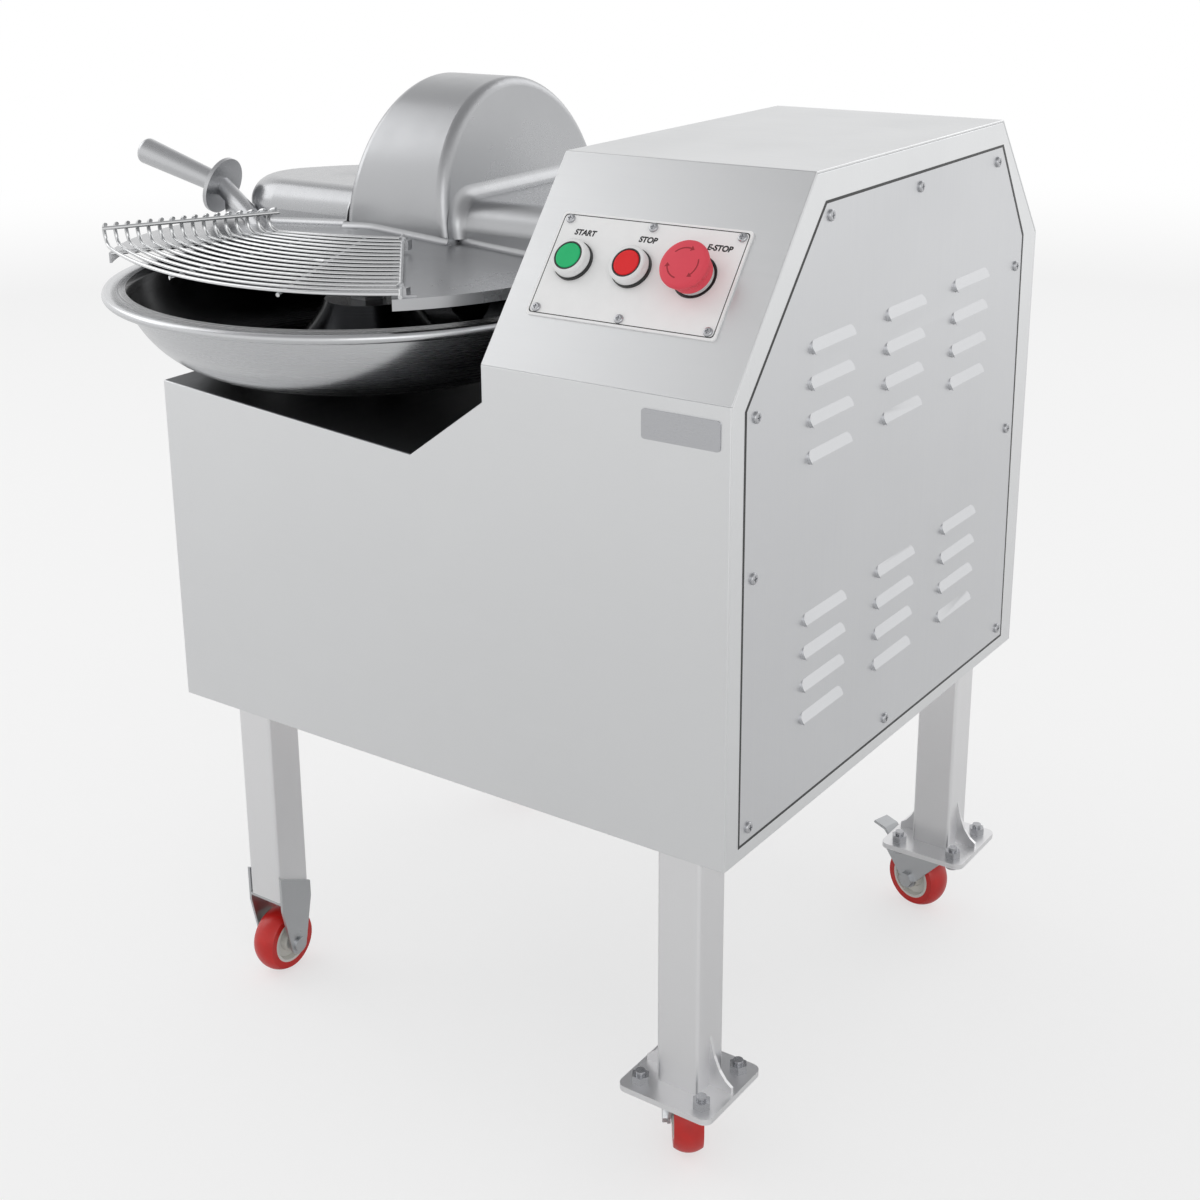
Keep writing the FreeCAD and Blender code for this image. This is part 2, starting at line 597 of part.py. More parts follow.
def knives():
    """The knives, each turned on from the one before, with their spacers between them."""
    blade = knife_blade()
    solids = []
    for k in range(KNIFE_COUNT):
        x = KNIFE_X + KNIFE_PITCH * k
        copy = blade.copy()
        copy.rotate(V(0, 0, 0), Z, 360.0 / KNIFE_COUNT * k)
        copy.Placement = Placement(V(*shaft_axis(x)), Rotation(Z, X)).multiply(copy.Placement)
        solids.append(copy)
    return group(solids)


def knife_fixings():
    """The spacers between the knives, the end collar and the nut."""
    pieces = []
    for k in range(KNIFE_COUNT - 1):
        x = KNIFE_X + KNIFE_PITCH * k + KNIFE_T
        pieces.append(ring(KNIFE_HUB_R - 2, KNIFE_SEAT_R + FIT, KNIFE_PITCH - KNIFE_T, shaft_axis(x), X))
    last = KNIFE_X + KNIFE_PITCH * (KNIFE_COUNT - 1) + KNIFE_T
    pieces.append(ring(KNIFE_HUB_R, KNIFE_SEAT_R + FIT, COLLAR_T, shaft_axis(last), X))
    nut = Part.Face(hexagon(KNIFE_HUB_R, shaft_axis(KNIFE_X - KNIFE_NUT_T), X)).extrude(V(KNIFE_NUT_T, 0, 0))
    pieces.append(nut.cut(rod(KNIFE_SEAT_R - 3 + FIT, 3 * KNIFE_NUT_T, shaft_axis(KNIFE_X - 2 * KNIFE_NUT_T), X)))
    return group(pieces)


def bearing_housing():
    """The housing through the tower's wall, with a slim nose that reaches over the bowl's rim."""
    parts = [rod(HOUSING_NOSE_R, TOWER_X - HOUSING_NOSE_X, shaft_axis(HOUSING_NOSE_X), X),
             rod(HOUSING_R - 0.02, HOUSING_END_X - TOWER_X, shaft_axis(TOWER_X), X),
             rod(HOUSING_FLANGE_R, HOUSING_FLANGE_T, shaft_axis(TOWER_X + TOWER_WALL), X)]
    body = fuse(parts).cut(rod(SHAFT_R + 1.5, 300, shaft_axis(HOUSING_NOSE_X - 10), X))
    for x in (TOWER_X + TOWER_WALL + 4, HOUSING_END_X - BEARING_T):
        body = body.cut(rod(BEARING_R, BEARING_T + (0 if x < 400 else 1), shaft_axis(x), X))
    return body


def shaft_bearings():
    """The two ball bearings of the knife shaft, with a groove between their rings."""
    pieces = []
    for x in (TOWER_X + TOWER_WALL + 4, HOUSING_END_X - BEARING_T):
        race = ring(BEARING_R - 0.02, SHAFT_R + FIT, BEARING_T, shaft_axis(x), X)
        for side in (x - 1, x + BEARING_T - 2):
            race = race.cut(ring(BEARING_R - 4, SHAFT_R + 5, 3, shaft_axis(side), X))
        pieces.append(race)
    return group(pieces)


def pulley(r, bore, x, y, z):
    """A belt pulley with one groove for each belt and a hub, its axis along x."""
    body = rod(r, PULLEY_T, (x, y, z), X)
    for groove_x in belt_places():
        a = groove_x - BELT_GAP
        b = groove_x + BELT_W + BELT_GAP
        floor = r - BELT_H
        cut = ring(r + 5, floor, b - a, (a, y, z), X)
        body = body.cut(cut)
    return body.cut(rod(bore, 4 * PULLEY_T, (x - PULLEY_T, y, z), X))


def belt_places():
    """The left face of each belt."""
    span = BELT_PITCH * (BELT_COUNT - 1) + BELT_W
    start = PULLEY_X + (PULLEY_T - span) / 2
    return [start + BELT_PITCH * k for k in range(BELT_COUNT)]


def belt_outline(ra, a, rb, b, x):
    """A closed loop round two circles in a plane across x. The circles' centres are (y, z)."""
    dy, dz = b[0] - a[0], b[1] - a[1]
    span = math.hypot(dy, dz)
    base = math.atan2(dz, dy)
    lean = math.acos((ra - rb) / span)

    def on(centre, r, angle):
        return (x, centre[0] + r * math.cos(angle), centre[1] + r * math.sin(angle))

    up, down = base + lean, base - lean
    return [on(a, ra, up), (on(a, ra, base + math.pi), on(a, ra, down)),
            on(b, rb, down), (on(b, rb, base), on(b, rb, up))]


def drive_belts():
    """The belts from the motor's pulley up to the knife shaft's pulley."""
    low = (MOTOR_Y, CAB_Z + BOTTOM_T + RAIL_H + MOTOR_FOOT_H)
    high = (SHAFT_Y, CAB_Z + SHAFT_Z)
    loops = []
    for x in belt_places():
        inner = [MOTOR_PULLEY_R - BELT_H + BELT_GAP, SHAFT_PULLEY_R - BELT_H + BELT_GAP]
        loop = prism(belt_outline(inner[0] + BELT_H, low, inner[1] + BELT_H, high, x), (BELT_W, 0, 0))
        loops.append(loop.cut(prism(belt_outline(inner[0], low, inner[1], high, x - 1), (BELT_W + 2, 0, 0))))
    return group(loops)


def motor_axis(x):
    """A point of the motor's axis."""
    return (x, MOTOR_Y, CAB_Z + BOTTOM_T + RAIL_H + MOTOR_FOOT_H)


def main_motor():
    """The foot-mounted motor: ribbed barrel, end bells, fan cover, terminal box and feet."""
    fins = 28
    barrel = rod(MOTOR_R - 8, MOTOR_X1 - MOTOR_X0 - 60, motor_axis(MOTOR_X0 + 40), X)
    z0 = motor_axis(0)[2]
    rib = box(MOTOR_X0 + 45, MOTOR_X1 - 30, MOTOR_Y - 1.5, MOTOR_Y + 1.5, z0 + MOTOR_R - 12, z0 + MOTOR_R - 1)
    parts = [barrel, rod(MOTOR_R, 40, motor_axis(MOTOR_X0), X), rod(MOTOR_R, 22, motor_axis(MOTOR_X1 - 22), X)]
    for k in range(fins):
        angle = 360.0 / fins * k
        if 40 < angle < 320:
            fin = rib.copy()
            fin.rotate(V(*motor_axis(0)), X, angle)
            parts.append(fin)
    parts.append(box(MOTOR_X0 + 90, MOTOR_X0 + 160, MOTOR_Y - 40, MOTOR_Y + 40, z0 + MOTOR_R - 20, z0 + MOTOR_R + 22))
    foot_z = CAB_Z + BOTTOM_T + RAIL_H
    for x in (MOTOR_X0 + 55, MOTOR_X1 - 62):
        parts.append(box(x, x + 32, MOTOR_Y - 78, MOTOR_Y + 78, foot_z, foot_z + 10))
        parts.append(box(x + 8, x + 24, MOTOR_Y - 60, MOTOR_Y + 60, foot_z, foot_z + 50))
    body = fuse(parts)
    return body.cut(rod(MOTOR_SHAFT_R + FIT, 90, motor_axis(MOTOR_X1 - 80), X))


def motor_rails():
    """The two channels that raise the motor off the floor plate and let its belts be tightened."""
    z = CAB_Z + BOTTOM_T
    rails = []
    for x in (MOTOR_X0 + 51, MOTOR_X1 - 66):
        rail = box(x, x + RAIL_W, MOTOR_Y - 100, MOTOR_Y + 100, z, z + RAIL_H)
        rails.append(rail.cut(box(x + 3, x + RAIL_W - 3, MOTOR_Y - 101, MOTOR_Y + 101, z - 1, z + RAIL_H - 3)))
    return group(rails)


def motor_rotor():
    """The motor's shaft with its pulley."""
    shaft = rod(MOTOR_SHAFT_R, PULLEY_X + PULLEY_T + 6 - (MOTOR_X1 - 80), motor_axis(MOTOR_X1 - 80), X)
    wheel = pulley(MOTOR_PULLEY_R, MOTOR_SHAFT_R, PULLEY_X, MOTOR_Y, motor_axis(0)[2])
    return fuse([shaft, wheel])


def shaft_pulley():
    """The knife shaft's pulley."""
    return pulley(SHAFT_PULLEY_R, SHAFT_R - 2 + FIT, PULLEY_X, SHAFT_Y, CAB_Z + SHAFT_Z)


def plate_z(x, y):
    """Height of the lid's conical plate above the cabinet's underside."""
    return LID_Z + LID_RISE * (1 - math.hypot(x - BOWL_X, y - BOWL_Y) / LID_R)


def under_cone(drop):
    """Everything under the plate's conical top lowered by drop, out past the lid's edge."""
    reach = 1.5 * LID_R
    low = CAB_Z + LID_Z - 60
    top = CAB_Z + LID_Z - drop
    points = [(BOWL_X, BOWL_Y, low), (BOWL_X + reach, BOWL_Y, low),
              (BOWL_X + reach, BOWL_Y, top + LID_RISE * (1 - reach / LID_R)), (BOWL_X, BOWL_Y, top + LID_RISE)]
    return turned(points, (BOWL_X, BOWL_Y, 0), Z)


def hump_outline(grow, z):
    """The hump in plan, moved inwards by grow: straight front, round corner, back along the lid's edge."""
    corner_r = HUMP_CORNER_R - grow
    edge_r = LID_R - HUMP_EDGE_IN - grow
    corner_y = HUMP_FRONT_Y + HUMP_CORNER_R
    span = LID_R - HUMP_EDGE_IN - HUMP_CORNER_R
    corner_x = BOWL_X - math.sqrt(span ** 2 - (corner_y - BOWL_Y) ** 2)
    meet = math.atan2(corner_y - BOWL_Y, corner_x - BOWL_X)

    def on(centre_x, centre_y, r, angle):
        return (centre_x + r * math.cos(angle), centre_y + r * math.sin(angle), z)

    half = (1.5 * math.pi + meet) / 2
    right_x = HUMP_RIGHT_X + 2 * grow
    return [(right_x, HUMP_FRONT_Y + grow, z), (corner_x, HUMP_FRONT_Y + grow, z),
            (on(corner_x, corner_y, corner_r, half), on(corner_x, corner_y, corner_r, meet)),
            (on(BOWL_X, BOWL_Y, edge_r, (meet + math.pi / 2) / 2), (BOWL_X, BOWL_Y + edge_r, z)),
            (right_x, BOWL_Y + edge_r, z)]


def hump_solid(grow):
    """The hump over the trough as a full body with a rounded top edge."""
    low, top = CAB_Z + LID_Z - 2 * LID_FLANGE - grow, CAB_Z + HUMP_Z - grow
    body = prism(hump_outline(grow, low), (0, 0, top - low))
    rim = [e for e in body.Edges if e.BoundBox.ZMin > top - 0.1 and e.BoundBox.XMin < HUMP_RIGHT_X - 1]
    return body.makeFillet(HUMP_ROUND - grow, rim)


def fender_solid(grow):
    """The knife fender as a full body: a tapered half disc whose front is flush with its foot."""
    low = CAB_Z + LID_Z - 2 * LID_FLANGE - grow
    axis = CAB_Z + FENDER_AXIS_Z
    r = FENDER_R - grow
    x0, x1 = FENDER_X0 + grow, FENDER_X1 - grow
    dome = ((x0, SHAFT_Y, axis + r), (x0, SHAFT_Y + r, axis))
    blank = prism([(x0, SHAFT_Y - r, low), (x0, SHAFT_Y - r, axis), dome, (x0, SHAFT_Y + r, low)], (x1 - x0, 0, 0))
    wide = FENDER_R + 20
    foot, top = CAB_Z + FENDER_FOOT_Z, axis + FENDER_R
    wedge = prism([(x0, SHAFT_Y - wide, low), (x1, SHAFT_Y - wide, low), (x1, SHAFT_Y - wide, foot),
                   (x1 - FENDER_TAPER, SHAFT_Y - wide, top), (x0 + FENDER_TAPER, SHAFT_Y - wide, top),
                   (x0, SHAFT_Y - wide, foot)], (0, 2 * wide, 0))
    body = blank.common(wedge)
    rim = [e for e in body.Edges if e.BoundBox.ZMax > axis + 5 and e.BoundBox.XLength < 2 * FENDER_TAPER
           and e.BoundBox.YLength > 1]
    return body.makeFillet(FENDER_EDGE_R - grow, rim)


def lid_plate():
    """The lid's conical plate with its turned-down flange and the flat strip to the hinge."""
    z1 = CAB_Z + LID_Z
    edge = rod(LID_R, LID_RISE + 4 * LID_FLANGE, (BOWL_X, BOWL_Y, z1 - 2 * LID_FLANGE), Z)
    edge = edge.common(box(BOWL_X - 2 * LID_R, HUMP_RIGHT_X, BOWL_Y - 2 * LID_R, BOWL_Y + 2 * LID_R, 0, 2 * z1))
    plate = edge.common(under_cone(0)).cut(under_cone(LID_T))
    back = box(HINGE_EARS_X[0] - 10, HINGE_EARS_X[1] + HINGE_EAR_W + 10, SHAFT_Y, HINGE_Y - HINGE_POST_R - 3,
               z1 - LID_T, z1)
    back = back.cut(rod(LID_R - LID_T, 4 * LID_T, (BOWL_X, BOWL_Y, z1 - 2 * LID_T), Z))
    corners = box(BOWL_X + 100, HUMP_RIGHT_X, HUMP_FRONT_Y, BOWL_Y + LID_R - HUMP_EDGE_IN, z1 - LID_T, z1)
    corners = corners.cut(rod(LID_R - LID_T, 4 * LID_T, (BOWL_X, BOWL_Y, z1 - 2 * LID_T), Z))
    flange = ring(LID_R, LID_R - LID_T, LID_FLANGE, (BOWL_X, BOWL_Y, z1 - LID_FLANGE), Z)
    flange = flange.common(box(BOWL_X - 2 * LID_R, HUMP_RIGHT_X, BOWL_Y - 2 * LID_R, SHAFT_Y + 60, 0, z1))
    flange = flange.cut(box(BOWL_X, HUMP_RIGHT_X, HUMP_FRONT_Y, BOWL_Y + LID_R, 0, z1))
    return fuse([plate, back, corners, flange])


def opening_prism(grow, z0, z1):
    """The opening's outline, moved outwards by grow, as a block that runs out past the flange."""
    a, b, c, d = [V(x, y, 0) for x, y in OPENING]
    far_a = a + (a - b).normalize() * 4 * LID_FLANGE
    far_d = d + (d - c).normalize() * 4 * LID_FLANGE
    front_y = BOWL_Y - 2 * LID_R
    left = V(far_a.x - grow * 1.2, front_y, 0)
    right = V(far_d.x + grow * 1.2, front_y, 0)
    points = [far_a + V(-grow, 0, 0), b + V(-grow, grow, 0), c + V(grow, grow, 0), far_d + V(grow, 0, 0), right, left]
    return prism([(p.x, p.y, z0) for p in points], (0, 0, z1 - z0))


def opening_lips():
    """The lip that hangs along the opening's edges, as deep all along under the conical plate."""
    low, high = CAB_Z + LID_Z - 2 * LID_FLANGE, CAB_Z + LID_Z + 2 * LID_RISE
    lips = opening_prism(LID_T, low, high).cut(opening_prism(0, low - 1, high + 1))
    lips = lips.common(rod(LID_R, high - low, (BOWL_X, BOWL_Y, low), Z))
    return lips.common(under_cone(0)).cut(under_cone(OPENING_LIP))


def lid():
    """The lid: conical plate, flange, hump and knife fender as one shell with hinge ears behind."""
    z1 = CAB_Z + LID_Z
    hump, fender = hump_solid(LID_T), fender_solid(LID_T)
    shells = [shell.cut(hump).cut(fender) for shell in (hump_solid(0), fender_solid(0))]
    skin = fuse([lid_plate().cut(hump).cut(fender)] + [shell.cut(under_cone(LID_T)) for shell in shells])
    skin = skin.cut(opening_prism(0, z1 - 5 * LID_FLANGE, z1 + 2 * LID_RISE))
    ears = []
    for x in HINGE_EARS_X:
        ear = rod(HINGE_EAR_R, HINGE_EAR_W, (x, HINGE_Y, CAB_Z + HINGE_Z), X)
        web = box(x, x + HINGE_EAR_W, HINGE_Y - HINGE_POST_R - 5, HINGE_Y, z1 - LID_T, z1 + 4)
        bore = rod(HINGE_ROD_R + FIT, 2 * HINGE_EAR_W, (x - 5, HINGE_Y, CAB_Z + HINGE_Z), X)
        ears.append(fuse([ear, web]).cut(bore))
    return fuse([skin, opening_lips()] + ears)


def lid_handle():
    """The lid's handle: a slanted stub on a gusset, a round hand guard and a tapered grip."""
    root = V(HANDLE_ROOT[0], HANDLE_ROOT[1], CAB_Z + plate_z(*HANDLE_ROOT))
    disc_at = V(*HANDLE_DISC_AT) + V(0, 0, CAB_Z)
    tip = V(*HANDLE_TIP) + V(0, 0, CAB_Z)
    stub_dir = disc_at - root
    start = root - stub_dir * 0.25
    stub = Part.makeCylinder(STUB_R, stub_dir.Length * 1.25, start, stub_dir)
    grip_dir = tip - disc_at
    grip = Part.makeCone(GRIP_R0, GRIP_R1, grip_dir.Length, disc_at, grip_dir)
    grip = grip.makeFillet(GRIP_ROUND, [e for e in grip.Edges if abs(e.Length - 2 * math.pi * GRIP_R1) < 0.5])
    unit = V(grip_dir).normalize()
    disc = Part.makeCylinder(DISC_R, DISC_T, disc_at - unit * (DISC_T / 2), unit)
    across = V(stub_dir.y, -stub_dir.x, 0).normalize() * GUSSET_T
    foot = root + V(stub_dir.x, stub_dir.y, 0) * 0.9
    head = root + stub_dir * 0.9
    gusset = Part.Face(Part.makePolygon([root, foot, head, root])).extrude(across)
    gusset.translate(across * -0.5)
    body = fuse([stub, gusset, disc, grip])
    return body.cut(under_cone(0)).cut(hump_solid(0))


def guard_ends(share):
    """The right and the left end of the guard wire at a share of the way from the outer to the inner."""
    ends = []
    for outer, inner in (GUARD_RIGHT, GUARD_LEFT):
        a, b = V(*outer, CAB_Z + GUARD_Z), V(*inner, CAB_Z + GUARD_Z)
        ends.append(a + (b - a) * share)
    return ends


def guard_lean():
    """The turn that leans the level guard about the line through its outer corners."""
    right, left = guard_ends(0)
    return Placement(V(0, 0, 0), Rotation(right - left, GUARD_LEAN), left)


def guard_hinge():
    """The outer and the inner end of the guard's hinge line."""
    return [guard_lean().multVec(guard_ends(share)[0]) for share in (0, 1)]


def guard_arc(share):
    """The bowed run of one guard wire from the right to the left."""
    right, left = guard_ends(share)
    bow = GUARD_BOW[0] + (GUARD_BOW[1] - GUARD_BOW[0]) * share
    across = (left - right).normalize()
    middle = (right + left) * 0.5 + V(across.y, -across.x, 0) * bow * -1
    return Part.Arc(right, middle, left)


def swept(points_wire, r):
    """A round wire carried along a path."""
    first = points_wire.Edges[0]
    start = first.valueAt(first.FirstParameter)
    direction = first.tangentAt(first.FirstParameter)
    section = Part.Wire(Part.makeCircle(r, start, direction))
    return points_wire.makePipeShell([section], True, False)


def guard_wire(share):
    """One guard wire: a bowed run whose left end curls up to the rail."""
    arc = guard_arc(share)
    end = arc.value(arc.LastParameter)
    tangent = arc.tangent(arc.LastParameter)[0]
    up = V(0, 0, GUARD_RAIL_UP)
    curl = Part.Arc(end, end + up * 0.5 + tangent * GUARD_RAIL_UP * 0.5, end + up)
    return swept(Part.Wire([arc.toShape(), curl.toShape()]), WIRE_R)


def straight_wire(a, b, spare=0.0):
    """A straight wire between two points, longer by spare at each end."""
    along = (b - a).normalize()
    return Part.makeCylinder(WIRE_R, (b - a).Length + 2 * spare, a - along * spare, along)


def wire_guard():
    """The guard over the opening: bowed wires, the hinge wire, cross wires and the top rail."""
    shares = [k / (GUARD_WIRES - 1) for k in range(GUARD_WIRES)]
    wires = [guard_wire(share) for share in shares]
    drop = V(0, 0, -2 * WIRE_R + 0.4)
    wires.append(straight_wire(guard_ends(0)[0], guard_ends(1)[0], 9))
    rail = V(0, 0, GUARD_RAIL_UP) + drop
    wires.append(straight_wire(guard_ends(0)[1] + rail, guard_ends(1)[1] + rail, 3))
    for share in (0.3, 0.65, 0.97):
        ends = []
        for arc in (guard_arc(0), guard_arc(1)):
            ends.append(arc.value(arc.FirstParameter + (arc.LastParameter - arc.FirstParameter) * share) + drop)
        wires.append(straight_wire(ends[0], ends[1], 2))
    body = fuse(wires)
    body.Placement = guard_lean().multiply(body.Placement)
    return body


def hinge_bracket():
    """The two rear hinge posts, trimmed to the deck that they are welded to."""
    low = CAB_Z + DECK_LEFT_Z
    posts = []
    for x in post_places():
        posts.append(box(x, x + HINGE_POST_W, HINGE_Y - HINGE_POST_R, HINGE_Y + HINGE_POST_R, low - 22, CAB_Z + HINGE_Z))
        posts.append(rod(HINGE_POST_R, HINGE_POST_W, (x, HINGE_Y, CAB_Z + HINGE_Z), X))
    body = fuse(posts)
    body = body.cut(rod(HINGE_ROD_R + 0.02, 2 * CAB_W, (0, HINGE_Y, CAB_Z + HINGE_Z), X))
    return body.cut(deck_block())


def deck_block():
    """Everything below the deck's top, to trim what stands on it."""
    top = [(x, SHEET, CAB_Z + z) for x, z in LOW_EDGE]
    return prism(top + [(TOWER_X, SHEET, CAB_Z), (0, SHEET, CAB_Z)], (0, CAB_D - 2 * SHEET, 0))


def post_places():
    """The left faces of the two hinge posts, just inside the lid's ears."""
    return (HINGE_EARS_X[0] + HINGE_EAR_W + HINGE_SIDE_GAP, HINGE_EARS_X[1] - HINGE_SIDE_GAP - HINGE_POST_W)


def hinge_rod():
    """The rod through the posts and the lid's ears, with a head at each end."""
    x0, x1 = HINGE_EARS_X[0] - HINGE_SIDE_GAP, HINGE_EARS_X[1] + HINGE_EAR_W + HINGE_SIDE_GAP
    z = CAB_Z + HINGE_Z
    return fuse([rod(HINGE_ROD_R, x1 - x0, (x0, HINGE_Y, z), X), rod(HINGE_ROD_R + 3, 3, (x0 - 3, HINGE_Y, z), X),
                 rod(HINGE_ROD_R + 3, 3, (x1, HINGE_Y, z), X)])


def leg_centre(corner):
    """The plan position of a leg's middle."""
    left = "left" in corner
    inset = LEG_Y_LEFT if left else LEG_Y_RIGHT
    x = LEG_X if left else CAB_W - LEG_X
    return x, inset if "front" in corner else CAB_D - inset


def leg_tube(x, y):
    """A square tube between the caster and the floor plate, closed at its lower end."""
    a = LEG_A / 2
    outer = box(x - a, x + a, y - a, y + a, LEG_Z, CAB_Z)
    outer = outer.makeFillet(3, [e for e in outer.Edges if abs(e.tangentAt(e.FirstParameter).z) > 0.9])
    b = a - LEG_WALL
    return outer.cut(box(x - b, x + b, y - b, y + b, LEG_Z + LEG_WALL, CAB_Z + 1))


def leg(corner):
    """One leg. The right legs carry a foot plate with two gussets and four bolt holes."""
    x, y = leg_centre(corner)
    tube = leg_tube(x, y)
    if "left" in corner:
        return tube
    h = FOOT_PLATE_A / 2
    top = LEG_Z
    plate = box(x - h, x + h, y - h, y + h, top - FOOT_PLATE_T, top)
    plate = plate.makeFillet(8, [e for e in plate.Edges if abs(e.tangentAt(e.FirstParameter).z) > 0.9])
    for bolt_x, bolt_y in foot_bolt_places(corner):
        plate = plate.cut(rod(FOOT_BOLT_R + 0.3, 20, (bolt_x, bolt_y, top - 10), Z))
    a = LEG_A / 2
    gussets = []
    for side in (1, -1):
        edge = side * (h - 3)
        outline = [(x + side * a, y - GUSSET_W / 2, top), (x + edge, y - GUSSET_W / 2, top)]
        for share, rise in GUSSET_CURVE:
            outline.append((x + side * a + share * (edge - side * a), y - GUSSET_W / 2, top + rise * GUSSET_H))
        gussets.append(prism(outline, (0, GUSSET_W, 0)))
    return fuse([tube, plate] + gussets)


def foot_bolt_places(corner):
    """The plan positions of a right leg's four bolts."""
    x, y = leg_centre(corner)
    reach = CASTER_PLATE_A / 2 - 7
    return [(x + sx * reach, y + sy * reach) for sx in (1, -1) for sy in (1, -1)]


def foot_bolts():
    """The bolts that join the caster plates to the foot plates, each with its nut on top."""
    bolts = []
    low = LEG_Z - FOOT_PLATE_T - CASTER_PLATE_T
    for corner in RIGHT_CORNERS:
        for x, y in foot_bolt_places(corner):
            nut = Part.Face(hexagon(7.5, (x, y, LEG_Z), Z)).extrude(V(0, 0, 6.5))
            head = rod(6.5, 4, (x, y, low - 4), Z)
            head = head.makeFillet(1.5, [e for e in head.Edges if e.BoundBox.ZMax < low - 3])
            bolts.append(fuse([head, rod(FOOT_BOLT_R, LEG_Z + 10 - low, (x, y, low), Z), nut]))
    return group(bolts)


RIGHT_CORNERS = ("front_right", "back_right")
LEFT_CORNERS = ("front_left", "back_left")


def caster_plates():
    """The top plates of the two swivel casters, each with its kingpin."""
    plates = []
    top = LEG_Z - FOOT_PLATE_T
    h = CASTER_PLATE_A / 2
    for corner in RIGHT_CORNERS:
        x, y = leg_centre(corner)
        plate = box(x - h, x + h, y - h, y + h, top - CASTER_PLATE_T, top)
        plate = plate.makeFillet(6, [e for e in plate.Edges if abs(e.tangentAt(e.FirstParameter).z) > 0.9])
        for bolt_x, bolt_y in foot_bolt_places(corner):
            plate = plate.cut(rod(FOOT_BOLT_R + 0.3, 20, (bolt_x, bolt_y, top - 10), Z))
        pin = rod(5, SWIVEL_H + FORK_T + 1.5, (x, y, top - CASTER_PLATE_T - SWIVEL_H - FORK_T - 1.5), Z)
        plates.append(fuse([plate, pin, rod(8, 1.5, (x, y, top - CASTER_PLATE_T - SWIVEL_H - FORK_T - 1.5), Z)]))
    return group(plates)


def fork_cheek(y0, top):
    """One cheek of a swivel fork: wide at the top, round at the axle, with an ear for the brake."""
    r = 9.0
    axle_x = -SWIVEL_TRAIL
    pin_x, pin_z = brake_pivot()
    return prism([(SWIVEL_R, y0, top), (-SWIVEL_R, y0, top), (pin_x - 5, y0, pin_z + 5), (pin_x - 5, y0, pin_z - 5),
                  (axle_x - r, y0, WHEEL_R), ((axle_x, y0, WHEEL_R - r), (axle_x + r, y0, WHEEL_R))], (0, FORK_T, 0))


def swivel_fork(corner):
    """A swivel fork with its ball race, axle bolt and brake pin, turned to its rest direction."""
    x, y = leg_centre(corner)
    top = LEG_Z - FOOT_PLATE_T - CASTER_PLATE_T - SWIVEL_H
    side = WHEEL_W / 2 + FORK_GAP
    race = rod(SWIVEL_R, SWIVEL_H - 0.3, (0, 0, top), Z)
    crown = box(-SWIVEL_R, SWIVEL_R, -side - FORK_T, side + FORK_T, top - FORK_T, top)
    cheeks = [fork_cheek(side, top), fork_cheek(-side - FORK_T, top)]
    out = side + FORK_T
    axle = rod(HUB_BORE_R - FIT, 2 * out + 6, (-SWIVEL_TRAIL, -out - 3, WHEEL_R), Y)
    heads = [Part.Face(hexagon(8, (-SWIVEL_TRAIL, end, WHEEL_R), Y)).extrude(V(0, 4, 0)) for end in (-out - 4, out)]
    pin_x, pin_z = brake_pivot()
    pin = rod(BRAKE_PIN_R, 2 * out + 2, (pin_x, -out - 1, pin_z), Y)
    body = fuse([race, crown] + cheeks + [axle, pin] + heads)
    return turn_to(body.cut(rod(5 + FIT, 40, (0, 0, top - 20), Z)), corner, x, y)


def turn_to(shape, corner, x, y):
    """Place a caster part that was made round its swivel axis, turned to the corner's direction."""
    moved = shape.copy()
    moved.Placement = Placement(V(x, y, 0), Rotation(Z, SWIVEL_DEG[corner])).multiply(shape.Placement)
    return moved


def brake_pivot():
    """The brake pedal's pivot in the fork, as (along the fork, z)."""
    return -SWIVEL_TRAIL - BRAKE_BACK, WHEEL_R + BRAKE_UP


def brake_pedal(corner):
    """A brake pedal: a pressed lever with a raised toe, on a pin between the fork's cheeks."""
    x, y = leg_centre(corner)
    px, pz = brake_pivot()
    w = WHEEL_W / 2 - 3
    profile = [(px + 4, -w, pz - 3), (px + 4, -w, pz + 3), (px - 6, -w, pz + 5), (px - 14, -w, pz + 12),
               (px - 28, -w, pz + 14), (px - 29, -w, pz + 11.5), (px - 15, -w, pz + 9), (px - 6, -w, pz + 1)]
    lever = prism(profile, (0, 2 * w, 0))
    barrel = rod(4.5, 2 * w, (px, -w, pz), Y)
    return turn_to(fuse([lever, barrel]).cut(rod(BRAKE_PIN_R + FIT, 4 * w, (px, -2 * w, pz), Y)), corner, x, y)


def wheel_place(corner):
    """The plan position of a wheel's middle and its turn about z in degrees."""
    x, y = leg_centre(corner)
    if corner in SWIVEL_DEG:
        turn = SWIVEL_DEG[corner]
        return (x - SWIVEL_TRAIL * math.cos(math.radians(turn)), y - SWIVEL_TRAIL * math.sin(math.radians(turn)), turn)
    return x, y, 90.0


def wheel_tread(corner):
    """A wheel's crowned rubber tread."""
    w = WHEEL_W / 2
    outline = [(0, -w, HUB_R), (0, -w, WHEEL_R - 4), ((0, 0, WHEEL_R), (0, w, WHEEL_R - 4)), (0, w, HUB_R)]
    return place_wheel(turned(outline, (0, 0, 0), Y), corner)


def wheel_hub(corner):
    """A wheel's hub with a raised boss and a dished web on each side."""
    w = WHEEL_W / 2
    outline = [(0, -w - 1, HUB_BORE_R), (0, -w - 1, 9), (0, -w + 5, 10.5), (0, -w + 5, HUB_R - 4), (0, -w, HUB_R - 2.5),
               (0, -w, HUB_R), (0, w, HUB_R), (0, w, HUB_R - 2.5), (0, w - 5, HUB_R - 4), (0, w - 5, 10.5),
               (0, w + 1, 9), (0, w + 1, HUB_BORE_R)]
    return place_wheel(turned(outline, (0, 0, 0), Y), corner)


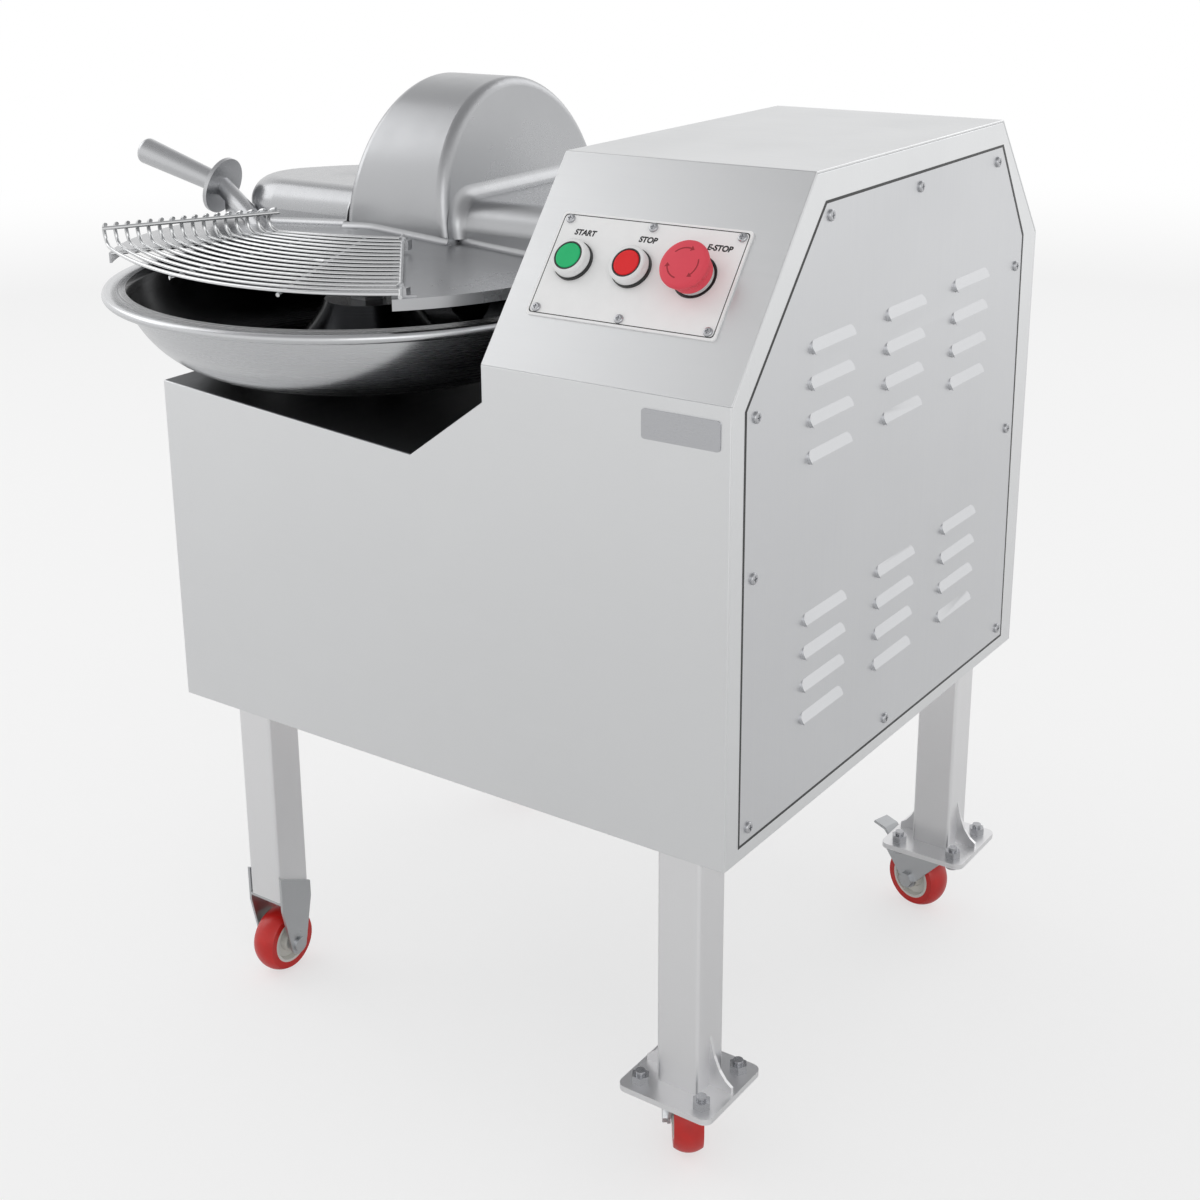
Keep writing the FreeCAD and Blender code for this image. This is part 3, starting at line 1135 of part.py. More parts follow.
def place_wheel(shape, corner):
    """Move a wheel part from the origin, its axle along y, to its corner."""
    x, y, turn = wheel_place(corner)
    moved = shape.copy()
    moved.Placement = Placement(V(x, y, WHEEL_R), Rotation(Z, turn)).multiply(shape.Placement)
    return moved


def fixed_fork(corner):
    """A fixed fork that straddles the leg's lower end, with slanted top edges and its axle."""
    x, y = leg_centre(corner)
    side = LEG_A / 2
    half = LEG_A / 2
    cheeks = []
    for x0 in (x - side - FORK_T, x + side):
        cheeks.append(prism([(x0, y - half, LEG_Z + 26), (x0, y + half, LEG_Z + 8), (x0, y + half, LEG_Z - 8),
                             (x0, y + 10, WHEEL_R), ((x0, y, WHEEL_R - 10), (x0, y - 10, WHEEL_R)),
                             (x0, y - half, LEG_Z - 8)], (FORK_T, 0, 0)))
    bridge = box(x - side - FORK_T, x + side + FORK_T, y - half, y + half, LEG_Z - FORK_T, LEG_Z)
    axle = rod(HUB_BORE_R - FIT, 2 * (side + FORK_T) + 4, (x - side - FORK_T - 2, y, WHEEL_R), X)
    rivets = [rod(7, 2.5, (x0, y, WHEEL_R), X) for x0 in (x - side - FORK_T - 2.5, x + side + FORK_T)]
    gap = (side - WHEEL_W / 2 - 1) - 0.3
    sleeves = [rod(8, gap, (x - side, y, WHEEL_R), X), rod(8, gap, (x + side - gap, y, WHEEL_R), X)]
    return fuse(cheeks + [bridge, axle] + rivets + sleeves)


def fixed_forks():
    """The two fixed forks on the left legs."""
    return group([fixed_fork(corner) for corner in LEFT_CORNERS])


def control_plate():
    """The plate on the sloped face with the holes of the switches and of its screws."""
    x0, s0, x1, s1 = PLATE
    plate = box(x0, x1, s0, s1, 0, PLATE_T)
    plate = plate.makeFillet(3, [e for e in plate.Edges if abs(e.tangentAt(e.FirstParameter).z) > 0.9])
    for x in (START_X, STOP_X, ESTOP_X):
        plate = plate.cut(rod(BUTTON_R + 0.5, 10, (x, BUTTON_S, -5), Z))
    return on_slope(plate)


def bezel(x, r, h):
    """A switch's threaded barrel with the bezel in front of the plate."""
    front = rod(r, h, (x, BUTTON_S, PLATE_T), Z)
    front = front.makeFillet(1.5, [e for e in front.Edges if e.BoundBox.ZMin > PLATE_T + h - 0.1])
    barrel = rod(BUTTON_R + 0.4, 26, (x, BUTTON_S, PLATE_T - 26), Z)
    bore = rod(BUTTON_R, 40, (x, BUTTON_S, PLATE_T - 20), Z)
    return fuse([front, barrel]).cut(bore)


def button_bezels():
    """The bezels and barrels of the three switches."""
    return group([on_slope(bezel(START_X, BEZEL_R, BEZEL_H)), on_slope(bezel(STOP_X, BEZEL_R, BEZEL_H)),
                  on_slope(bezel(ESTOP_X, BEZEL_R - 1, ESTOP_BEZEL_H))])


def push_button(x):
    """A flat push button with its plunger."""
    cap = rod(BUTTON_R - 0.3, BEZEL_H + 8, (x, BUTTON_S, PLATE_T - 7.5), Z)
    top = PLATE_T + BEZEL_H + 0.5
    return on_slope(cap.makeFillet(1.0, [e for e in cap.Edges if e.BoundBox.ZMin > top - 0.1]))


def estop_head():
    """The mushroom head of the emergency switch on its neck."""
    low = PLATE_T + ESTOP_BEZEL_H + BUTTON_TRAVEL + 1.0
    head = rod(ESTOP_R, ESTOP_HEAD_H, (ESTOP_X, BUTTON_S, low), Z)
    head = head.makeFillet(ESTOP_ROUND, [e for e in head.Edges if e.BoundBox.ZMin > low + ESTOP_HEAD_H - 0.1])
    neck = rod(BUTTON_R - 0.3, low - PLATE_T + 8, (ESTOP_X, BUTTON_S, PLATE_T - 8), Z)
    return on_slope(fuse([head, neck]))


def switch_blocks():
    """The contact blocks on the backs of the switches."""
    return group([on_slope(box(x - 14, x + 14, BUTTON_S - 20, BUTTON_S + 20, PLATE_T - 60, PLATE_T - 26.3))
                  for x in (START_X, STOP_X, ESTOP_X)])


def screw(at, axis, r=SCREW_R, h=SCREW_H):
    """A pan-head screw: a low domed head with a cross recess."""
    head = rod(r, h, (0, 0, 0), Z)
    head = head.makeFillet(h * 0.7, [e for e in head.Edges if e.BoundBox.ZMin > h - 0.1])
    for angle in (0, 90):
        slot = box(-r * 0.5, r * 0.5, -0.5, 0.5, h - 1.0, h + 1)
        slot.rotate(V(0, 0, 0), Z, angle)
        head = head.cut(slot)
    head.Placement = Placement(V(*at), Rotation(Z, axis))
    return head


def screws():
    """The screws of the control plate and of the service panel."""
    heads = [on_slope(screw((x, s, PLATE_T), Z, 3.6, 2.0)) for x, s in PLATE_SCREWS]
    heads += [screw((CAB_W, y, CAB_Z + z), X) for y, z in PANEL_SCREWS]
    return group(heads)


def electrical_box():
    """The closed box of the motor's contactors on the tower's wall."""
    x0 = TOWER_X + TOWER_WALL
    body = box(x0, x0 + 70, 345, 460, CAB_Z + 250, CAB_Z + 400)
    return body.makeFillet(6, [e for e in body.Edges if abs(e.tangentAt(e.FirstParameter).x) > 0.9])


def guard_clips():
    """The two eyes on the lid that hold the guard's end wire, each on a short foot."""
    a, b = guard_hinge()
    along = (b - a).normalize()
    side = V(along.y, -along.x, 0).normalize()
    eyes = []
    for start in (a + along * GUARD_EYES_IN[0], b - along * (GUARD_EYES_IN[1] + GUARD_EYE_W)):
        eye = Part.makeCylinder(GUARD_EYE_R, GUARD_EYE_W, start, along)
        drop = V(0, 0, -2 * GUARD_EYE_R - 1)
        corners = [start, start + side * GUARD_FOOT, start + side * GUARD_FOOT + drop, start + drop]
        foot = Part.Face(Part.makePolygon(corners + [corners[0]])).extrude(along * GUARD_EYE_W)
        hole = Part.makeCylinder(WIRE_R + FIT, 3 * GUARD_EYE_W, start - along * GUARD_EYE_W, along)
        low = CAB_Z + plate_z(start.x, start.y) + 1.5
        far = start + side * GUARD_FOOT
        foot = foot.cut(box(far.x - GUARD_FOOT / 2, far.x + GUARD_FOOT, far.y - GUARD_FOOT, far.y + GUARD_FOOT,
                            low, low + 2 * GUARD_FOOT))
        eyes.append(fuse([eye, foot]).cut(hole).cut(under_cone(0)))
    return group(eyes)


def build():
    """Every piece of the machine by its name."""
    pieces = {
        "front_panel": front_panel(), "left_panel": left_panel(), "rear_panel": rear_panel(),
        "bottom_plate": bottom_plate(), "deck_tray": deck_tray(), "tower_cover": tower_cover(),
        "tower_wall": tower_wall(), "side_frame": side_frame(), "service_panel": service_panel(),
        "inner_frame": inner_frame(), "main_motor": main_motor(), "motor_rails": motor_rails(),
        "drive_belts": drive_belts(), "bearing_housing": bearing_housing(), "shaft_bearings": shaft_bearings(),
        "bowl_gear_motor": bowl_gear_motor(), "deck_seal": deck_seal(),
        "control_plate": control_plate(), "button_bezels": button_bezels(), "switch_blocks": switch_blocks(),
        "screws": screws(), "name_plate": name_plate(), "hinge_bracket": hinge_bracket(),
        "hinge_rod": hinge_rod(), "cable_gland": cable_gland(), "electrical_box": electrical_box(),
        "foot_bolts": foot_bolts(), "caster_plates": caster_plates(), "fixed_forks": fixed_forks(),
        "bowl": bowl(), "bowl_spindle": bowl_spindle(), "bowl_nut": bowl_nut(),
        "knife_shaft": knife_shaft(), "knives": knives(), "knife_fixings": knife_fixings(),
        "shaft_pulley": shaft_pulley(), "motor_rotor": motor_rotor(),
        "lid": lid(), "lid_handle": lid_handle(), "guard_clips": guard_clips(), "wire_guard": wire_guard(),
        "start_button": push_button(START_X), "stop_button": push_button(STOP_X), "estop_head": estop_head(),
    }
    for corner in LEFT_CORNERS + RIGHT_CORNERS:
        pieces["leg_" + corner] = leg(corner)
        pieces["wheel_tread_" + corner] = wheel_tread(corner)
        pieces["wheel_hub_" + corner] = wheel_hub(corner)
    for corner in RIGHT_CORNERS:
        pieces["swivel_fork_" + corner] = swivel_fork(corner)
        pieces["brake_pedal_" + corner] = brake_pedal(corner)
    return pieces


def export(pieces):
    """Move the pieces to the machine's origin and write one file for each."""
    os.makedirs("parts", exist_ok=True)
    for name, shape in pieces.items():
        placed = shape.copy()
        placed.translate(MID * -1)
        placed.exportStep("parts/" + name + ".step")


export(build())
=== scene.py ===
"""The looks of a floor-standing food cutter mixer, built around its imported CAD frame.

Every CAD node is a fixed frame in metres. The folded sheets and the bowl get a merged copy with a
finish, the other nodes the finish alone, and the pieces that the frame lacks are surfaces worked
out with numpy. Sizes in this file are millimetres in machine coordinates: x to the right from the
cabinet's left side, y to the back from its front, z up from its underside.
"""
from __future__ import annotations

import json
import logging
import math
from dataclasses import dataclass
from enum import Enum
from typing import Any, Sequence

import bmesh
import bpy
import numpy as np
from mathutils import Matrix, Vector

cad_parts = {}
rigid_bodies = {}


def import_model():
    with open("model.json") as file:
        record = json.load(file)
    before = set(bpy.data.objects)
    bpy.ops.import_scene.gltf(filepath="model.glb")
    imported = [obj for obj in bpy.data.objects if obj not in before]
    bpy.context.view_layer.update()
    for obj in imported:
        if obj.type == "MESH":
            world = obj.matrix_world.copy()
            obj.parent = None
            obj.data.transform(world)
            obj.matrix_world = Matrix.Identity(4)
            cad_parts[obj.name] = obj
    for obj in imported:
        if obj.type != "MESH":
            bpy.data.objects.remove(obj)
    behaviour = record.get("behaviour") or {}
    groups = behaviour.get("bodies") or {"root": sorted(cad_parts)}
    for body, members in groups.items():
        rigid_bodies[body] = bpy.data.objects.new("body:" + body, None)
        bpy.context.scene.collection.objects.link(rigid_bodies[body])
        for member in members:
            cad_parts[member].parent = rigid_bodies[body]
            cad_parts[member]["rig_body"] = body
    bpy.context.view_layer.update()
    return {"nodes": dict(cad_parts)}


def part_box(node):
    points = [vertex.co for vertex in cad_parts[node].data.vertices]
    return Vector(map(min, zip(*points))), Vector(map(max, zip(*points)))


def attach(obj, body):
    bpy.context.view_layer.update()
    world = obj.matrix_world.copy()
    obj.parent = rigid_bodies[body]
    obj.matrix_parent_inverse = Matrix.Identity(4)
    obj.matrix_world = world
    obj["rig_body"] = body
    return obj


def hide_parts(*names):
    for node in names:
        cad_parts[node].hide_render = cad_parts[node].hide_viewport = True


Material, Mesh, Object = bpy.types.Material, bpy.types.Mesh, bpy.types.Object
Node, NodeTree = bpy.types.Node, bpy.types.NodeTree

LOG = logging.getLogger("food_cutter")
MM = 0.001
BOWL_AXIS = (105.0, 150.0)              # where the bowl's axis stands, in machine mm
CREASE = 32.0                           # edges sharper than this angle, in degrees, stay creased
MIX_A, MIX_B, MIX_RESULT = 6, 7, 2      # the colour sockets of a Mix node
MERGE = 2e-6                            # corners of loose triangles nearer than this, in metres, are one
WELD = 1e-6                             # and so are a surface's points nearer than this
STROKE_RANGE = (0.3, 0.7)               # where a stroke's noise lies
CLOUD_SIZE, SPOT_SIZE = 142.857, 22.2222        # a cloud of handling and a worn spot, in mm
CLOUD_RANGE, SPOT_RANGE = (0.45, 0.75), (0.4, 0.7)      # where their noise counts
SPOT_ROUGHNESS, COAT_ROUGHNESS = 0.12, 0.08     # what spots add, and a clear gloss


def linear(hex_colour: str) -> tuple[float, float, float, float]:
    """Turn an sRGB hex colour into linear light.

    Args:
        hex_colour: Six hex digits with a leading hash.

    Returns:
        Linear red, green, blue and an alpha of one.
    """
    srgb = np.array([int(hex_colour[i:i + 2], 16) / 255 for i in (1, 3, 5)])
    light = np.where(srgb <= 0.04045, srgb / 12.92, ((srgb + 0.055) / 1.055) ** 2.4)
    return (float(light[0]), float(light[1]), float(light[2]), 1.0)


def shaded(hex_colour: str, by: float) -> tuple[float, float, float, float]:
    """Darken a colour: linear light times (1 - by)."""
    red, green, blue, alpha = linear(hex_colour)
    return (red * (1.0 - by), green * (1.0 - by), blue * (1.0 - by), alpha)


def add(tree: NodeTree, kind: str, values: dict[Any, Any] | None = None,
        links: dict[Any, Any] | None = None, **settings: Any) -> Node:
    """Add a node with its settings, its unlinked inputs and its links.

    Args:
        tree: The node tree that takes the node.
        kind: Blender's node type without the word ShaderNode.
        values: Input name or index to value.
        links: Input name or index to what feeds it: an output socket, or a node for its first output.
        **settings: Attributes of the node itself.

    Returns:
        The new node.
    """
    made = tree.nodes.new("ShaderNode" + kind)
    for key, value in settings.items():
        setattr(made, key, value)
    for socket, value in (values or {}).items():
        made.inputs[socket].default_value = value
    for socket, source in (links or {}).items():
        tree.links.new(source.outputs[0] if isinstance(source, Node) else source, made.inputs[socket])
    return made


def empty_material(name: str) -> Material:
    """Make a material whose tree holds nothing yet.

    Args:
        name: Its name.

    Returns:
        The material.
    """
    material = bpy.data.materials.new(name)
    material.use_nodes = True
    material.node_tree.nodes.clear()
    return material


class Grain(Enum):
    """The way a metal's polishing strokes run."""

    ALONG_X = "along x"
    ALONG_Y = "along y"
    ALONG_Z = "along z"
    SPUN = "round an upright axis"
    CLOUDY = "no direction"


@dataclass(frozen=True)
class Metal:
    """A bare metal with fine polishing strokes and faint clouds of handling.

    Attributes:
        name: The material's name.
        colour: Its sRGB hex colour.
        roughness: Mean roughness.
        grain: The way the strokes run.
        line: Spacing of the strokes in mm, drawn coarser than the real 0.05 mm grit so it shows.
        stroke: Length of a stroke in mm.
        depth: Height of the strokes in mm.
        spread: How far the strokes move the roughness up and down.
        clouds: How far faint clouds move the roughness up.
        drift: How far the same clouds darken the colour, from 0 to 1.
        centre: Where the axis of spun strokes stands, in frame metres.
    """

    name: str
    colour: str
    roughness: float
    grain: Grain = Grain.CLOUDY
    line: float = 0.8
    stroke: float = 60.0
    depth: float = 0.004
    spread: float = 0.05
    clouds: float = 0.05
    drift: float = 0.05
    centre: tuple[float, float] = (0.0, 0.0)

    def stroke_vector(self, tree: NodeTree, place: bpy.types.NodeSocket) -> Node:
        """Scale the place so that one unit is a stroke long along the grain and a line wide across it.

        Args:
            tree: The material's tree.
            place: The Object coordinates.

        Returns:
            The node with the scaled place.
        """
        fine = 1.0 / (self.line * MM)
        slow = 1.0 / (self.stroke * MM)
        if self.grain is Grain.SPUN:
            moved = add(tree, "Mapping", {"Location": (-self.centre[0], -self.centre[1], 0.0)},
                        {"Vector": place})
            parts = add(tree, "SeparateXYZ", links={0: moved})
            flat = add(tree, "CombineXYZ", links={0: parts, 1: parts.outputs[1]})
            reach = add(tree, "VectorMath", links={0: flat}, operation="LENGTH")
            ring = add(tree, "CombineXYZ", links={0: reach.outputs["Value"], 1: parts.outputs[2]})
            return add(tree, "VectorMath", {1: (fine, fine, 1.0)}, {0: ring}, operation="MULTIPLY")
        scale = {Grain.ALONG_X: (slow, fine, fine), Grain.ALONG_Y: (fine, slow, fine),
                 Grain.ALONG_Z: (fine, fine, slow), Grain.CLOUDY: (fine, fine, fine)}[self.grain]
        return add(tree, "VectorMath", {1: scale}, {0: place}, operation="MULTIPLY")

    def build(self) -> Material:
        """Make the material.

        Returns:
            The material, whose roughness and bump follow the strokes.
        """
        material = empty_material(self.name)
        tree = material.node_tree
        place = add(tree, "TexCoord").outputs["Object"]
        strokes = add(tree, "TexNoise", {"Scale": 1.0, "Detail": 4.0, "Roughness": 0.6},
                      {"Vector": self.stroke_vector(tree, place)})
        clouds = add(tree, "TexNoise", {"Scale": 1.0 / (CLOUD_SIZE * MM), "Detail": 3.0, "Roughness": 0.55},
                     {"Vector": place})
        low, high = STROKE_RANGE
        rough = add(tree, "MapRange",
                    {"From Min": low, "From Max": high, "To Min": self.roughness - self.spread,
                     "To Max": self.roughness + self.spread}, {"Value": strokes})
        low, high = CLOUD_RANGE
        cloud = add(tree, "MapRange", {"From Min": low, "From Max": high, "To Max": self.clouds},
                    {"Value": clouds})
        total = add(tree, "Math", links={0: rough, 1: cloud}, operation="ADD", use_clamp=True)
        bump = add(tree, "Bump", {"Strength": 0.35, "Distance": self.depth * MM}, {"Height": strokes})
        colour = add(tree, "Mix", {MIX_A: linear(self.colour), MIX_B: shaded(self.colour, self.drift)},
                     {0: clouds}, data_type="RGBA")
        shader = add(tree, "BsdfPrincipled", {"Metallic": 1.0},
                     {"Base Color": colour.outputs[MIX_RESULT], "Roughness": total, "Normal": bump})
        add(tree, "OutputMaterial", links={"Surface": shader})
        return material


@dataclass(frozen=True)
class Moulded:
    """A moulded or painted surface with a fine skin texture.

    Attributes:
        name: The material's name.
        colour: Its sRGB hex colour.
        roughness: Mean roughness.
        grain: Size of the skin's texture in mm.
        depth: Height of that texture in mm.
        shade: How far worn or dusty spots darken the colour, from 0 to 1.
        coat: Weight of the clear gloss over it.
    """

    name: str
    colour: str
    roughness: float
    grain: float = 0.6
    depth: float = 0.01
    shade: float = 0.08
    coat: float = 0.0

    def build(self) -> Material:
        """Make the material.

        Returns:
            The material, with a fine bump and slightly uneven colour.
        """
        material = empty_material(self.name)
        tree = material.node_tree
        place = add(tree, "TexCoord").outputs["Object"]
        skin = add(tree, "TexNoise", {"Scale": 1.0 / (self.grain * MM), "Detail": 2.0}, {"Vector": place})
        spots = add(tree, "TexNoise", {"Scale": 1.0 / (SPOT_SIZE * MM), "Detail": 4.0, "Roughness": 0.65},
                    {"Vector": place})
        low, high = SPOT_RANGE
        share = add(tree, "MapRange", {"From Min": low, "From Max": high}, {"Value": spots})
        colour = add(tree, "Mix", {MIX_A: linear(self.colour), MIX_B: shaded(self.colour, self.shade)},
                     {0: share}, data_type="RGBA")
        bump = add(tree, "Bump", {"Strength": 0.4, "Distance": self.depth * MM}, {"Height": skin})
        dull = min(1.0, self.roughness + SPOT_ROUGHNESS)
        rough = add(tree, "MapRange", {"To Min": self.roughness, "To Max": dull}, {"Value": spots})
        shader = add(tree, "BsdfPrincipled", {"Coat Weight": self.coat, "Coat Roughness": COAT_ROUGHNESS},
                     {"Base Color": colour.outputs[MIX_RESULT], "Roughness": rough, "Normal": bump})
        add(tree, "OutputMaterial", links={"Surface": shader})
        return material


@dataclass(frozen=True)
class MachineSpace:
    """Turns machine millimetres into frame metres.

    Attributes:
        corner: The cabinet's lower front left corner in the frame.
        bend_z: Front edge of the sloped face.
        top_z: The tower's flat top.
        top_y: Where the slope ends and the flat top starts.
    """

    corner: tuple[float, float, float]
    bend_z: float = 354.0
    top_z: float = 498.0
    top_y: float = 112.0

    @classmethod
    def from_frame(cls) -> MachineSpace:
        """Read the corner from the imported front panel."""
        return cls(tuple(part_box("front_panel")[0]))

    @property
    def slope(self) -> float:
        """Angle of the sloped face from level, in radians."""
        return math.atan2(self.top_z - self.bend_z, self.top_y)

    def points(self, machine: np.ndarray) -> np.ndarray:
        """Scale and shift points: frame = corner + machine x 0.001.

        Args:
            machine: Points in machine millimetres, last axis x, y, z.

        Returns:
            The same points in frame metres.
        """
        return np.asarray(machine, float) * MM + np.array(self.corner)

    def at(self, x: float, y: float, z: float) -> tuple[float, float, float]:
        """One point in frame metres."""
        return tuple(float(v) for v in self.points(np.array([x, y, z])))

    def on_slope(self, flat: np.ndarray) -> np.ndarray:
        """Lay points given as (x, way up the slope, height off it) on the sloped face.

        Args:
            flat: Points in millimetres, last axis x, up, off.

        Returns:
            The points in frame metres.
        """
        flat = np.asarray(flat, float)
        c, s = math.cos(self.slope), math.sin(self.slope)
        y = flat[..., 1] * c - flat[..., 2] * s
        z = self.bend_z + flat[..., 1] * s + flat[..., 2] * c
        return self.points(np.stack([flat[..., 0], y, z], axis=-1))


def object_from(name: str, mesh: Mesh, material: Material) -> Object:
    """Link a mesh into the scene as an object at the origin.

    Args:
        name: Name of the piece.
        mesh: Its mesh, in frame metres.
        material: Its finish.

    Returns:
        The object.
    """
    made = bpy.data.objects.new(name, mesh)
    bpy.context.scene.collection.objects.link(made)
    mesh.materials.clear()
    mesh.materials.append(material)
    return made


def fitted(name: str, mesh: Mesh, material: Material, body: str = "cabinet") -> Object:
    """Link a piece into the scene and let it ride on a body.

    Args:
        name: Name of the piece.
        mesh: Its mesh, in frame metres.
        material: Its finish.
        body: The body.

    Returns:
        The piece.
    """
    made = object_from(name, mesh, material)
    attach(made, body)
    LOG.info("piece %s on %s", name, body)
    return made


def smooth(mesh: Mesh) -> None:
    """Shade a mesh smooth, with creases where its faces meet at more than an angle."""
    mesh.shade_smooth()
    mesh.set_sharp_from_angle(angle=math.radians(CREASE))


def grid_mesh(name: str, points: np.ndarray, round_rows: bool = False, round_columns: bool = False,
              caps: bool = False) -> Mesh:
    """Turn a grid of points into a mesh.

    A quad joins point (i, j) to its upper, its upper right and its right neighbour, and the last row
    or column joins the first where the grid is round.

    Args:
        name: Name of the mesh.
        points: Rows by columns by three, in frame metres.
        round_rows: Whether the first parameter closes.
        round_columns: Whether the second parameter closes.
        caps: Whether the first and the last row are closed with a face.

    Returns:
        The mesh, with its faces turned outwards.
    """
    rows, columns = points.shape[:2]
    i, j = np.meshgrid(np.arange(rows if round_rows else rows - 1),
                       np.arange(columns if round_columns else columns - 1), indexing="ij")
    up, right = (i + 1) % rows, (j + 1) % columns
    quads = np.stack([i * columns + j, up * columns + j, up * columns + right, i * columns + right], axis=-1)
    faces = quads.reshape(-1, 4).tolist()
    if caps:
        faces.append(list(range(columns)))
        faces.append([(rows - 1) * columns + k for k in range(columns)])
    mesh = bpy.data.meshes.new(name)
    mesh.from_pydata(points.reshape(-1, 3).tolist(), [], faces)
    work = bmesh.new()
    work.from_mesh(mesh)
    bmesh.ops.remove_doubles(work, verts=work.verts, dist=WELD)
    bmesh.ops.recalc_face_normals(work, faces=work.faces)
    work.to_mesh(mesh)
    work.free()
    return mesh


def joined_mesh(name: str, meshes: list[Mesh]) -> Mesh:
    """Join meshes into one and drop the parts.

    Args:
        name: Name of the new mesh.
        meshes: The parts.

    Returns:
        The new mesh.
    """
    work = bmesh.new()
    for mesh in meshes:
        work.from_mesh(mesh)
        bpy.data.meshes.remove(mesh)
    made = bpy.data.meshes.new(name)
    work.to_mesh(made)
    work.free()
    return made


def turned_points(profile: np.ndarray, centre: Sequence[float], axis: Sequence[float], steps: int,
                  ribs: int) -> np.ndarray:
    """Turn a profile round an axis.

    A profile point (r, h) at angle t stands at centre + h axis + r (cos t u + sin t v), where u and
    v are two directions across the axis. Where a third column gives ribs, r grows by that height
    times cos(ribs t).

    Args:
        profile: Points as (distance from the axis, way along it), in metres.
        centre: Zero of the way along the axis, in frame metres.
        axis: The axis' direction.
        steps: Points round the axis.
        ribs: Number of ribs round the axis.

    Returns:
        Steps by profile points by three.
    """
    w = np.asarray(axis, float) / np.linalg.norm(axis)
    u = np.cross(w, [1.0, 0.0, 0.0] if abs(w[0]) < 0.9 else [0.0, 1.0, 0.0])
    u /= np.linalg.norm(u)
    v = np.cross(w, u)
    t = np.linspace(0.0, 2 * math.pi, steps, endpoint=False)[:, None, None]
    r, h = profile[None, :, 0, None], profile[None, :, 1, None]
    if ribs:
        r = r + profile[None, :, 2, None] * np.cos(ribs * t)
    return np.asarray(centre, float) + h * w + r * (np.cos(t) * u + np.sin(t) * v)


def arc(centre: Sequence[float], radius: float, start: float, end: float, steps: int) -> np.ndarray:
    """Points of an arc in a plane: centre + radius (cos, sin) from one angle in degrees to another."""
    t = np.radians(np.linspace(start, end, steps))
    return np.asarray(centre, float) + radius * np.stack([np.cos(t), np.sin(t)], axis=-1)


